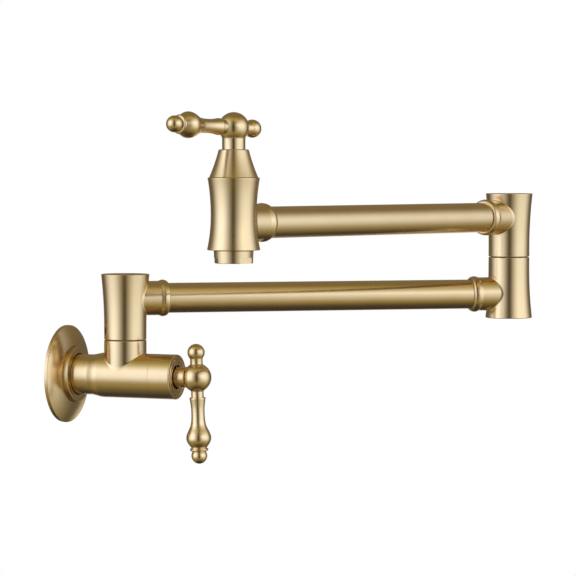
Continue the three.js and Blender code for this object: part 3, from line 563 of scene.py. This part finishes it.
CAD_FINISHES = {
    "flange_seal_ring": RUBBER,
    "lower_pin": RAW_BRASS,
    "lower_pin_seal_1": RUBBER,
    "lower_pin_seal_2": RUBBER,
    "elbow_pin": RAW_BRASS,
    "elbow_pin_seal_1": RUBBER,
    "elbow_pin_seal_2": RUBBER,
    "aerator_washer": RUBBER,
    **{f"{side}_{part}": finish for side in ("wall", "outlet") for part, finish in (
        ("seat_seal", RUBBER),
        ("cartridge_shell", RAW_BRASS),
        ("fixed_disc", CERAMIC),
        ("moving_disc", CERAMIC),
        ("stem", RAW_BRASS),
        ("stem_seal", RUBBER),
        ("cartridge_nut", RAW_BRASS),
    )},
}


class POTFILLER_OT_inner_pieces(Operator):
    """Gives the sealed inner pieces their finishes."""

    bl_idname = "potfiller.inner_pieces"
    bl_label = "Inner pieces"

    def execute(self, context):
        for node, finish in CAD_FINISHES.items():
            materials = frame["nodes"][node].data.materials
            materials.clear()
            materials.append(bpy.data.materials[finish])
        return {"FINISHED"}


# ---- Wall side ----

# In millimetres.
BARREL_END = 63.4  # wall to the seam under the bonnet
CHAMBER_RADIUS = 10.3  # bore round each cartridge
SEAT_PORT_RADIUS = 5  # port under each cartridge
PIN_BORE_RADIUS = 9.3  # bore round each swivel's pin
WASHER_SEAT_RADIUS = 12.3  # recess for each swivel's washer


class POTFILLER_OT_wall_flange(Operator):
    """The dished wall flange with its raised boss."""

    bl_idname = "potfiller.wall_flange"
    bl_label = "Wall flange"

    def execute(self, context):
        sizes = context.scene.potfiller_sizes
        rim = sizes.flange_radius / MM
        boss, bore, groove = 17.7, 13.25, 15.85
        foot = rim - 0.35  # where the dished face leaves the rim
        dish = [(foot - (foot - boss) * t, 2.35 + 6.9 * t - 2.55 * t * t) for t in heights(0, 1, 24)]
        outline = [
            (rim - 3, 0), *arc(rim - 0.2, 0.2, 0.2, -90, 0, 3), *arc(rim - 0.5, 1.9, 0.5, 0, 60, 6),
            *dish[1:-1], (boss + 0.25, 6.62), (boss, 6.2), *arc(boss - 0.5, 9.3, 0.5, 0, 90, 6),
            *arc(bore + 0.3, 9.5, 0.3, 90, 180, 4), (bore, 8.05), (groove, 8.05), (groove, 4.95),
            (bore, 4.95), (bore, 3.7), (boss, 3.7), (rim - 3, 1.2),
        ]
        finished(turned(outline, 160, OUT_OF_WALL), "wall_flange", "wall_side", SATIN_GOLD)
        return {"FINISHED"}


class POTFILLER_OT_valve_body(Operator):
    """The T of inlet neck, barrel and riser, with its waterway."""

    bl_idname = "potfiller.valve_body"
    bl_label = "Valve body"

    def execute(self, context):
        sizes = context.scene.potfiller_sizes
        barrel = sizes.barrel_radius / MM
        riser_radius = sizes.riser_radius / MM
        edge = sizes.edge_round / MM
        neck = 12.75
        nose = 12.3  # the threaded end that carries the bonnet
        inlet = 9.3  # half-inch pipe thread, at its crest
        riser_at, riser_top, riser_port = 42, 22.45, 7
        shoulder = smooth_through([
            (neck, 18.4), (neck + 0.04, 19.8), (neck + 0.3, 21.6),
            (barrel - 0.3, 25.4), (barrel - 0.04, 27.2), (barrel, 28.6),
        ])
        outside = turned([
            (0, 0.6), *arc(neck - 0.4, 1.0, 0.4, -90, 0, 4), (neck, 10), (neck, 16), *shoulder,
            *plain(barrel, 29.5, 57, 28), *arc(barrel - 0.08, BARREL_END - 0.08, 0.08, 0, 90, 3),
            (nose, BARREL_END), (nose, 71.0), (0, 71.0),
        ], sizes.facets, OUT_OF_WALL)
        up = OUT_OF_WALL @ starting(0, 0, riser_at, ALONG_Y)
        riser = turned([
            (0, 1), (riser_radius, 1), *plain(riser_radius, 8, 21, 13),
            *arc(riser_radius - edge, riser_top - edge, edge, 0, 90, 4), (0, riser_top),
        ], sizes.facets, up)
        waterway = turned([
            (0, -1), (inlet, -1), (inlet, 15.6), (SEAT_PORT_RADIUS, 15.6), (SEAT_PORT_RADIUS, 28.05),
            (CHAMBER_RADIUS, 28.05), (CHAMBER_RADIUS, 72), (0, 72),
        ], sizes.facets, OUT_OF_WALL)
        socket = turned([
            (0, -1.3), (riser_port, -1.3), (riser_port, 11.95), (PIN_BORE_RADIUS, 11.95),
            (PIN_BORE_RADIUS, riser_top - 1), (WASHER_SEAT_RADIUS, riser_top - 1),
            (WASHER_SEAT_RADIUS, riser_top + 1), (0, riser_top + 1),
        ], sizes.facets, up)
        body = combined(outside, joined=[riser], cut=[waterway, socket])
        blend_crease(body, (OUT_OF_WALL, lambda height: barrel), (up, lambda height: riser_radius))
        finished(body, "valve_body", "wall_side", SATIN_GOLD)
        return {"FINISHED"}


class POTFILLER_OT_wall_bonnet(Operator):
    """The bonnet on the barrel's end, with a turned groove in its face."""

    bl_idname = "potfiller.wall_bonnet"
    bl_label = "Wall bonnet"

    def execute(self, context):
        sizes = context.scene.potfiller_sizes
        barrel = sizes.barrel_radius / MM
        start = BARREL_END + 0.06  # the seam
        face = 77.95
        thread, shelf, hole = 12.6, 11.8, 7.5
        outline = rounded([
            (thread, start), (barrel, start, 0.08), (barrel, face, 0.7),
            (11.9, face), (11.5, face - 0.35), (11.1, face), (9.6, face), (9.4, face - 0.2), (9.2, face),
            (hole, face, 0.3), (hole, face - 2.6), (shelf, face - 2.6), (shelf, 71.3), (thread, 71.3),
        ])
        finished(turned(outline, 128, OUT_OF_WALL), "wall_bonnet", "wall_side", SATIN_GOLD)
        return {"FINISHED"}


# ---- Arms ----

# In millimetres. The heights are from the seam of each post's swivel.
POST_STRAIGHT = 7.0  # the plain stretch next to the seam
POST_HEIGHT = 41.4
ARM_RISE = 25.95  # up to the axis of the arm that a post carries
GRUB_RISE = 5.55
FOOT_HEIGHT = 39.8
FOOT_ARM_DROP = 24  # down to the axis of the lower arm
PORT_RADIUS = 8  # waterway between a tube and a pin
TUBE_STOP = 13.7  # a post's axis to the shoulder inside its collar
TUBE_ENDS = (14, 244.5)  # from the axis of the post that carries the tube
TUBE_WALL = 1.2


def post_radius(sizes, height):
    """The law of a post's radius: plain next to its seam face at 0, then flared."""
    seam = sizes.post_seam_radius / MM
    end = sizes.post_end_radius / MM
    reach = height - sizes.edge_round / MM - POST_STRAIGHT
    return lambda at: seam + (end - seam) * (max(abs(at) - POST_STRAIGHT, 0) / reach) ** 2


def post_outside(sizes, height, placement):
    """A post from its seam face at height 0 to its flared end."""
    seam = sizes.post_seam_radius / MM
    end = sizes.post_end_radius / MM
    edge = sizes.edge_round / MM
    radius_at = post_radius(sizes, height)
    flare = [(radius_at(at), at) for at in heights(POST_STRAIGHT, height - edge, 40)]
    straight = plain(seam, edge + 0.8, POST_STRAIGHT - 0.8, 6)
    return turned([
        (0, 0), *arc(seam - edge, edge, edge, -90, 0, 4), *straight, *flare,
        *arc(end - edge, height - edge, edge, 10, 90, 4), (0, height),
    ], sizes.facets, placement)


def collar_outside(sizes, placement):
    """The collar that a tube is brazed into: a plain neck that swells to a soft bead round its mouth."""
    collar = sizes.collar_radius / MM
    mouth = sizes.tube_radius / MM + 0.6
    crest = collar + 0.78
    return turned([
        (0, 5), *plain(collar, 5, 20.6, 16),
        *law(21.2, 23.9, 10, lambda t: collar + (crest - collar) * math.sin(t * math.pi / 2) ** 2),
        *law(23.9, 27.1, 14, lambda t: mouth + (crest - mouth) * math.sqrt(1 - t * t))[1:],
        (mouth, 27.4), (0, 27.4),
    ], sizes.facets, placement)


def collar_inside(sizes, placement):
    """The cutter for the tube's socket and the port behind it."""
    socket = sizes.tube_radius / MM + 0.05
    return turned([
        (0, -1.3), (PORT_RADIUS, -1.3), (PORT_RADIUS, TUBE_STOP), (socket, TUBE_STOP), (socket, 29), (0, 29),
    ], sizes.facets, placement)


def collar_form(sizes, placement):
    """A collar as a form to blend with: its placement and the law of its radius."""
    return placement, lambda height: sizes.collar_radius / MM


def turning_post(sizes, placement):
    """A post that turns on a swivel pin, with its collar, bore and grub screw hole."""
    arm = placement @ starting(0, 0, ARM_RISE, ALONG_X)
    screw = placement @ starting(0, 0, GRUB_RISE, ALONG_MINUS_X)
    post = combined(post_outside(sizes, POST_HEIGHT, placement), joined=[collar_outside(sizes, arm)], cut=[
        rod(PIN_BORE_RADIUS, -1, POST_HEIGHT - 3, 64, placement),
        collar_inside(sizes, arm),
        turned([(0, 0), (2.7, 0), (2.7, 12.6), (3.1, 14.4), (0, 14.4)], 32, screw),
    ])
    blend_crease(post, (placement, post_radius(sizes, POST_HEIGHT)), collar_form(sizes, arm))
    return post


def grub_screw(placement):
    """The grub screw, with its point in the pin's groove and a hexagon socket outside."""
    laid = placement @ starting(0, 0, GRUB_RISE, ALONG_MINUS_X)
    blank = turned(rounded([
        (0, 7.8), (1.5, 7.8, 0.2), (1.5, 9.6), (2.4, 9.6, 0.2), (2.4, 12.85, 0.25), (0, 12.85),
    ]), 32, laid)
    return combined(blank, cut=[hex_rod(2.5, 10.85, 14, laid)])


def arm_tube(sizes, placement):
    """A plain tube between two collars."""
    outer = sizes.tube_radius / MM
    inner = outer - TUBE_WALL
    start, end = TUBE_ENDS
    laid = placement @ starting(0, 0, ARM_RISE, ALONG_X)
    return turned([(inner, start), *plain(outer, start, end, 24), (inner, end)], sizes.facets, laid)


def slip_washer(placement):
    """The nylon washer in the swivel's seam."""
    return turned(rounded([(9.6, -0.7), (12, -0.7, 0.15), (12, 0.1, 0.15), (9.6, 0.1)]), 64, placement)


class POTFILLER_OT_lower_arm(Operator):
    """The lower arm: post, tube and grub screw."""

    bl_idname = "potfiller.lower_arm"
    bl_label = "Lower arm"

    def execute(self, context):
        sizes = context.scene.potfiller_sizes
        finished(turning_post(sizes, LOWER_ARM), "lower_post", "lower_arm", SATIN_GOLD)
        finished(arm_tube(sizes, LOWER_ARM), "lower_arm_tube", "lower_arm", SATIN_GOLD, "lower_tube_skin")
        finished(grub_screw(LOWER_ARM), "lower_grub_screw", "lower_arm", STEEL, "lower_grub_skin")
        below = LOWER_ARM @ Matrix.Translation((0, 0, -SEAM_GAP))
        finished(slip_washer(below), "lower_slip_washer", "wall_side", NYLON, "lower_washer_skin")
        return {"FINISHED"}


class POTFILLER_OT_elbow_foot(Operator):
    """The fixed lower half of the elbow, whose flared end looks down."""

    bl_idname = "potfiller.elbow_foot"
    bl_label = "Elbow foot"

    def execute(self, context):
        sizes = context.scene.potfiller_sizes
        arm = ELBOW_FOOT @ starting(0, 0, -FOOT_ARM_DROP, ALONG_MINUS_X)
        bottom = 3 - FOOT_HEIGHT
        socket = turned([
            (0, bottom), (PORT_RADIUS, bottom), (PORT_RADIUS, -10.5), (PIN_BORE_RADIUS, -10.5),
            (PIN_BORE_RADIUS, -1), (WASHER_SEAT_RADIUS, -1), (WASHER_SEAT_RADIUS, 1), (0, 1),
        ], 64, ELBOW_FOOT)
        foot = combined(post_outside(sizes, FOOT_HEIGHT, ELBOW_FOOT @ DOWNWARDS),
                        joined=[collar_outside(sizes, arm)], cut=[socket, collar_inside(sizes, arm)])
        blend_crease(foot, (ELBOW_FOOT, post_radius(sizes, FOOT_HEIGHT)), collar_form(sizes, arm))
        finished(foot, "elbow_foot", "lower_arm", SATIN_GOLD)
        finished(slip_washer(ELBOW_FOOT), "elbow_slip_washer", "lower_arm", NYLON, "elbow_washer_skin")
        return {"FINISHED"}


class POTFILLER_OT_upper_arm(Operator):
    """The upper arm: the elbow's turning half, tube and grub screw."""

    bl_idname = "potfiller.upper_arm"
    bl_label = "Upper arm"

    def execute(self, context):
        sizes = context.scene.potfiller_sizes
        finished(turning_post(sizes, UPPER_ARM), "elbow_post", "upper_arm", SATIN_GOLD)
        finished(arm_tube(sizes, UPPER_ARM), "upper_arm_tube", "upper_arm", SATIN_GOLD, "upper_tube_skin")
        finished(grub_screw(UPPER_ARM), "elbow_grub_screw", "upper_arm", STEEL, "elbow_grub_skin")
        return {"FINISHED"}


# ---- Outlet ----

OUTLET_HEIGHT = 43.05  # millimetres, bottom to the seam under the bonnet
OUTLET_ARM_RISE = 16.05  # bottom to the axis of the upper arm


class POTFILLER_OT_outlet_body(Operator):
    """The waisted outlet body with its collar and waterway."""

    bl_idname = "potfiller.outlet_body"
    bl_label = "Outlet body"

    def execute(self, context):
        sizes = context.scene.potfiller_sizes
        waist, top, bottom = 13.6, 15.5, 15.75
        nose, insert = 11.6, 10.7
        waist_at, height, edge = 20.6, OUTLET_HEIGHT, sizes.edge_round / MM
        arm = OUTLET @ starting(0, 0, OUTLET_ARM_RISE, ALONG_MINUS_X)

        def radius_at(station):
            if station < waist_at:
                return waist + (bottom - waist) * ((waist_at - station) / (waist_at - edge)) ** 2
            return waist + (top - waist) * ((station - waist_at) / (height - edge - waist_at)) ** 2

        outside = turned([
            (0, 0), *arc(bottom - edge, edge, edge, -90, 0, 4)[:-1],
            *[(radius_at(at), at) for at in heights(edge, height - edge, 44)],
            *arc(top - edge, height - edge, edge, 0, 90, 4)[1:], (nose, height), (nose, height + 3.5),
            (0, height + 3.5),
        ], sizes.facets, OUTLET)
        waterway = turned([
            (0, -1), (insert, -1), (insert, 5.5), (SEAT_PORT_RADIUS, 5.5), (SEAT_PORT_RADIUS, 9.35),
            (CHAMBER_RADIUS, 9.35), (CHAMBER_RADIUS, 48), (0, 48),
        ], 96, OUTLET)
        body = combined(outside, joined=[collar_outside(sizes, arm)],
                        cut=[waterway, collar_inside(sizes, arm)])
        blend_crease(body, (OUTLET, radius_at), collar_form(sizes, arm))
        finished(body, "outlet_body", "upper_arm", SATIN_GOLD)
        return {"FINISHED"}


class POTFILLER_OT_outlet_bonnet(Operator):
    """The cone-shaped bonnet over the outlet valve."""

    bl_idname = "potfiller.outlet_bonnet"
    bl_label = "Outlet bonnet"

    def execute(self, context):
        base, top, height, hollow = 14.6, 8.9, 16.7, 0.35

        def side(t):
            return base + (top - base) * t - hollow * 4 * t * (1 - t)

        outline = [
            (11.9, 0.02), *arc(base - 0.25, 0.27, 0.25, -90, 0, 3)[:-1],
            *law(0.27, height - 0.5, 16, lambda t: side((0.27 + (height - 0.77) * t) / height)),
            *arc(top - 0.5, height - 0.5, 0.5, 15, 90, 4),
            *arc(7.7, height - 0.3, 0.3, 90, 180, 3), (7.4, 13.3), (11.4, 3.8), (11.9, 3.8),
        ]
        placement = OUTLET @ starting(0, 0, OUTLET_HEIGHT, Matrix())
        finished(turned(outline, 128, placement), "outlet_bonnet", "upper_arm", SATIN_GOLD)
        return {"FINISHED"}


class POTFILLER_OT_aerator(Operator):
    """The aerator: housing with key notches, and a perforated insert."""

    bl_idname = "potfiller.aerator"
    bl_label = "Aerator"

    def execute(self, context):
        housing = turned(rounded([
            (8.3, -7.8, 0.15), (11.5, -7.8, 0.3), (11.85, -0.3, 0.2), (10.4, -0.3), (10.4, 4.2), (9.3, 4.2),
            (9.3, -7.1), (8.3, -7.1),
        ]), 96, OUTLET)
        notches = []
        for turn in (87, 207, 327):
            spin = Matrix.Rotation(math.radians(turn), 4, "Z")
            notches.append(block((1.8, 9, 4.4), (11.6, 0, -6.6), OUTLET @ spin))
        finished(combined(housing, cut=notches), "aerator_housing", "upper_arm", SATIN_GOLD)
        cup = turned(rounded([
            (0, -6.8), (9.0, -6.8, 0.3), (9.0, 4.2), (8.0, 4.2), (8.0, -4.4), (0, -4.4),
        ]), 64, OUTLET)
        hole_radius = 0.7
        holes = []
        for ring, count in ((2.4, 5), (5.4, 10)):
            for i in range(count):
                angle = 2 * math.pi * i / count
                place = starting(ring * math.cos(angle), ring * math.sin(angle), 0, Matrix())
                holes.append(rod(hole_radius, -8, -3, 16, OUTLET @ place))
        finished(combined(cup, cut=holes), "aerator_insert", "upper_arm", NYLON)
        return {"FINISHED"}


# ---- Handles ----
# +Z leads away from the valve, the lever points along +X and the origin is the ball's centre.

LEVER_TILT = math.radians(2)  # up from square to the stem
ALONG_LEVER = Matrix.Rotation(math.pi / 2 - LEVER_TILT, 4, "Y")
ALONG_FINIAL = Matrix.Rotation(-math.pi / 2 - LEVER_TILT, 4, "Y")
SCREW_HEIGHT = -12.2
STEM_RADIUS = 3.7  # bore for the stem
# What the lever and the finial share: the peg in the ball, and a foot that flares onto it.
TANG = [
    (0, 4.6), (2.3, 4.6), (2.3, 7.6), (3.95, 7.6), (3.95, 8.3), (4.34, 8.13),
    *arc(4.6, 8.9, 0.65, -114, -180, 5),
]


def hub(sizes, neck, placement):
    """The hub: a neck with a blind socket, a fillet and a ball."""
    ball = sizes.ball_radius / MM
    fillet = 2.2
    swing = neck + fillet
    low = -math.sqrt((ball + fillet) ** 2 - swing ** 2)
    meeting = math.degrees(math.atan2(low, swing))
    blank = turned([
        (STEM_RADIUS, -16), *arc(neck - 0.35, -15.65, 0.35, -90, 0, 3),
        *arc(swing, low, fillet, 180, 180 + meeting, 8),
        *arc(0, 0, ball, meeting, 90, 36)[1:-1], (0, ball), (0, -3.9), (STEM_RADIUS, -3.9),
    ], 80, placement)
    socket = [(0, 4.3), (2.6, 4.3), (2.6, 7.45), (4.05, 7.45), (4.05, 10), (0, 10)]
    screw = placement @ starting(0, 0, SCREW_HEIGHT, ALONG_MINUS_X)
    return combined(blank, cut=[
        turned(socket, 48, placement @ ALONG_LEVER),
        turned(socket, 48, placement @ ALONG_FINIAL),
        rod(2.0, 0, neck + 1, 24, screw),
    ])


def lever(placement):
    """The turned baluster lever: lip, waist, bulb, ring and ball tip."""
    waist = smooth_through([
        (4.98, 13.75), (4.78, 15.0), (4.5, 16.9), (4.28, 18.8), (4.19, 21.0), (4.19, 23.6), (4.32, 26.2),
        (4.55, 28.3), (5.02, 30.2), (5.78, 32.0), (6.7, 33.8), (7.47, 35.7), (7.84, 37.7), (7.63, 39.6),
        (6.82, 41.4), (5.5, 43.2), (4.95, 43.9),
    ])
    outline = [
        *TANG, (3.95, 12.4), *arc(4.75, 12.7, 0.3, -90, 0, 3), (5.06, 13.3), *waist,
        *arc(4.85, 45.2, 0.95, -75, 75, 8), (4.2, 46.5),
        *arc(0, 49.1, 5.0, -32, 90, 22),
    ]
    return turned(outline, 72, placement @ ALONG_LEVER)


def finial(placement):
    """The ball finial opposite the lever."""
    outline = [*TANG, (3.95, 11.7), *arc(0, 15.8, 5.45, -43, 90, 24)[1:]]
    return turned(outline, 72, placement @ ALONG_FINIAL)


def handle_screw(neck, placement):
    """The headless screw that holds the hub on its stem."""
    laid = placement @ starting(0, 0, SCREW_HEIGHT, ALONG_MINUS_X)
    end = neck - 0.3
    blank = turned(rounded([(0, STEM_RADIUS), (1.7, STEM_RADIUS), (1.7, end, 0.2), (0, end)]), 24, laid)
    return combined(blank, cut=[hex_rod(1.5, end - 1.2, end + 1, laid)])


class POTFILLER_OT_handles(Operator):
    """Both handles: hub, lever, finial and screw."""

    bl_idname = "potfiller.handles"
    bl_label = "Handles"

    def execute(self, context):
        sizes = context.scene.potfiller_sizes
        for side, neck, placement in (("wall", 6.5, WALL_HANDLE), ("outlet", 6.9, OUTLET_HANDLE)):
            body = f"{side}_handle"
            finished(hub(sizes, neck, placement), f"{side}_handle_hub", body, HANDLE_GOLD, f"{side}_hub_skin")
            finished(lever(placement), f"{side}_lever", body, HANDLE_GOLD)
            finished(finial(placement), f"{side}_finial", body, HANDLE_GOLD)
            screw = handle_screw(neck, placement)
            finished(screw, f"{side}_handle_screw", body, STEEL, f"{side}_screw_skin")
        return {"FINISHED"}


# ---- Stage ----

# Each soft light: bearing from the camera's side towards the picture's right, half its width, the
# softness of its edges, its height over the horizon, half its own height and the softness again, all in
# degrees, then its colour and strength.
SOFT_LIGHTS = (
    (-64, 32, 29, 12, 29, 20, "#C5D5FF", 2.58),  # tall box on the left
    (66, 39, 28, 9, 28, 25, "#CCDBFF", 2),  # tall box on the right
    (-11.8, 81.6, 39.1, 58.8, 11.9, 16.8, "#FFF987", 0.366),  # warm ceiling in front
    (0, 360, 1, 90, 90, 30.3, "#FFEAA6", 0.199),  # upper half of the room
    (-1.8, 123.2, 29.9, -37.1, 19.5, 24.3, "#FFF3A6", 0.388),  # warm floor in front
    (0, 360, 1, 0, 180, 1, "#FFF4FF", 0.062),  # the whole room
    (34, 20, 14, 17, 10, 8, "#E7F1FF", 0.35),  # inner top of the right box
)
# Where the camera stands in front of the lights: the same six angles, and the share it takes away.
CAMERA_SHADE = (-0.5, 7.5, 8, 3, 46, 20, 0.85)
BACK_LIGHT = (180, 30, 10, -18, 10, 8, "#FFF4E0", 0.7)  # for the views from behind


def light_world(stage):
    """Two tall soft boxes in a dim warm room, as the gold reflects it. White to the eye."""
    world = bpy.data.worlds.new("studio")
    bpy.context.scene.world = world
    world.use_nodes = True
    tree = world.node_tree
    tree.nodes.clear()
    place = add_node(tree, "ShaderNodeTexCoord").outputs["Generated"]

    def calculated(operation, *values):
        inputs = {f"i{i}": value for i, value in enumerate(values)}
        return add_node(tree, "ShaderNodeMath", {"operation": operation}, **inputs).outputs[0]

    def share_along(direction):
        return add_node(tree, "ShaderNodeVectorMath", {"operation": "DOT_PRODUCT"},
                        i0=place, i1=direction).outputs["Value"]

    def window(angle, middle, half, softness):
        edges = []
        for side in (-1, 1):
            edge = math.radians(middle + side * half)
            soft = side * math.radians(softness)
            edges.append(add_node(tree, "ShaderNodeMapRange", {"interpolation_type": "SMOOTHSTEP"},
                                  Value=angle, From_Min=edge + soft, From_Max=edge - soft).outputs["Result"])
        return calculated("MULTIPLY", *edges)

    towards_camera = share_along((math.sin(stage.azimuth), -math.cos(stage.azimuth), 0.0))
    towards_right = share_along((math.cos(stage.azimuth), math.sin(stage.azimuth), 0.0))
    bearing = calculated("ARCTAN2", towards_right, towards_camera)
    height = calculated("ARCSINE", share_along((0.0, 0.0, 1.0)))
    turn_away = calculated("ABSOLUTE", bearing)
    total = (0.0, 0.0, 0.0)
    for angle, lights in ((bearing, SOFT_LIGHTS), (turn_away, (BACK_LIGHT,))):
        for middle, half, soft, rise, half_rise, soft_rise, tint, strength in lights:
            amount = calculated("MULTIPLY", window(angle, middle, half, soft),
                                window(height, rise, half_rise, soft_rise))
            glow = tuple(channel * strength * stage.light for channel in linear(tint))
            total = add_node(tree, "ShaderNodeVectorMath", {"operation": "MULTIPLY_ADD"},
                             i0=amount, i1=glow, i2=total).outputs["Vector"]
    middle, half, soft, rise, half_rise, soft_rise, share = CAMERA_SHADE
    shaded = calculated("MULTIPLY", window(bearing, middle, half, soft),
                        window(height, rise, half_rise, soft_rise))
    left = calculated("MULTIPLY_ADD", shaded, -share, 1.0)
    seen = add_node(tree, "ShaderNodeVectorMath", {"operation": "SCALE"}, i0=total, i3=left)
    studio = add_node(tree, "ShaderNodeBackground", Color=seen.outputs["Vector"])
    white = add_node(tree, "ShaderNodeBackground", Color=(1, 1, 1, 1))
    path = add_node(tree, "ShaderNodeLightPath")
    choice = add_node(tree, "ShaderNodeMixShader", i0=path.outputs["Is Camera Ray"],
                      i1=studio.outputs[0], i2=white.outputs[0])
    output = add_node(tree, "ShaderNodeOutputWorld")
    tree.links.new(choice.outputs[0], output.inputs["Surface"])


FLOOR_REACH = 40  # metres to each side


def lay_floor(stage):
    """A plain pale floor, white to the eye and out of the gold's reflections."""
    mesh = bmesh.new()
    bmesh.ops.create_grid(mesh, x_segments=1, y_segments=1, size=FLOOR_REACH)
    bmesh.ops.translate(mesh, verts=mesh.verts, vec=(0, 0, -stage.floor_drop))
    data = bpy.data.meshes.new("floor")
    mesh.to_mesh(data)
    mesh.free()
    material = bpy.data.materials.new("pale_floor")
    material.use_nodes = True
    tree = material.node_tree
    tree.nodes.clear()
    paint = add_node(tree, "ShaderNodeBsdfDiffuse", Color=(*stage.floor, 1))
    white = add_node(tree, "ShaderNodeEmission", Color=(1, 1, 1, 1))
    path = add_node(tree, "ShaderNodeLightPath")
    seen = add_node(tree, "ShaderNodeMixShader", i0=path.outputs["Is Camera Ray"],
                    i1=paint.outputs[0], i2=white.outputs[0])
    output = add_node(tree, "ShaderNodeOutputMaterial")
    tree.links.new(seen.outputs[0], output.inputs["Surface"])
    data.materials.append(material)
    floor = bpy.data.objects.new("floor", data)
    floor.visible_glossy = False
    bpy.context.scene.collection.objects.link(floor)


def place_camera(stage):
    """The camera, where the photograph was taken from."""
    data = bpy.data.cameras.new("camera")
    data.lens = stage.focal_length
    data.sensor_fit = "HORIZONTAL"
    data.sensor_width = 36
    data.clip_start = 0.05
    data.clip_end = 200
    camera = bpy.data.objects.new("camera", data)
    bpy.context.scene.collection.objects.link(camera)
    turn, lift = stage.azimuth, stage.elevation
    back = Vector((math.sin(turn) * math.cos(lift), -math.cos(turn) * math.cos(lift), math.sin(lift)))
    right = Vector((math.cos(turn), math.sin(turn), 0))
    up = back.cross(right)
    pose = Matrix((right, up, back)).transposed().to_4x4() @ Matrix.Rotation(stage.roll, 4, "Z")
    pose.translation = stage.camera_place
    camera.matrix_world = pose
    bpy.context.scene.camera = camera


class POTFILLER_OT_stage(Operator):
    """Floor, light and camera."""

    bl_idname = "potfiller.stage"
    bl_label = "Stage"

    def execute(self, context):
        stage = context.scene.potfiller_stage
        context.scene.view_settings.view_transform = "Standard"
        light_world(stage)
        lay_floor(stage)
        place_camera(stage)
        return {"FINISHED"}


OPERATORS = (
    POTFILLER_OT_stage,
    POTFILLER_OT_materials,
    POTFILLER_OT_inner_pieces,
    POTFILLER_OT_wall_flange,
    POTFILLER_OT_valve_body,
    POTFILLER_OT_wall_bonnet,
    POTFILLER_OT_lower_arm,
    POTFILLER_OT_elbow_foot,
    POTFILLER_OT_upper_arm,
    POTFILLER_OT_outlet_body,
    POTFILLER_OT_outlet_bonnet,
    POTFILLER_OT_aerator,
    POTFILLER_OT_handles,
)


class POTFILLER_PT_panel(Panel):
    """Lists the sizes, the finishes and the steps that build the tap."""

    bl_idname = "POTFILLER_PT_panel"
    bl_label = "Pot Filler"
    bl_space_type = "VIEW_3D"
    bl_region_type = "UI"
    bl_category = "Pot Filler"

    def draw(self, context):
        for settings in ("potfiller_sizes", "potfiller_finishes", "potfiller_stage"):
            group = getattr(context.scene, settings)
            column = self.layout.column()
            for name in group.__annotations__:
                column.prop(group, name)
        for operator in OPERATORS:
            self.layout.operator(operator.bl_idname)


GROUPS = (PotFillerSizes, PotFillerFinishes, PotFillerStage)
CLASSES = (*GROUPS, *OPERATORS, POTFILLER_PT_panel)


def register():
    """Registers the classes and their settings."""
    for item in CLASSES:
        bpy.utils.register_class(item)
    bpy.types.Scene.potfiller_sizes = PointerProperty(type=PotFillerSizes)
    bpy.types.Scene.potfiller_finishes = PointerProperty(type=PotFillerFinishes)
    bpy.types.Scene.potfiller_stage = PointerProperty(type=PotFillerStage)


def unregister():
    """Removes the settings and the classes."""
    del bpy.types.Scene.potfiller_stage
    del bpy.types.Scene.potfiller_finishes
    del bpy.types.Scene.potfiller_sizes
    for item in reversed(CLASSES):
        bpy.utils.unregister_class(item)


def main():
    """Builds everything in order."""
    register()
    for operator in OPERATORS:
        group, step = operator.bl_idname.split(".")
        getattr(getattr(bpy.ops, group), step)()


if __name__ == "__main__":
    main()
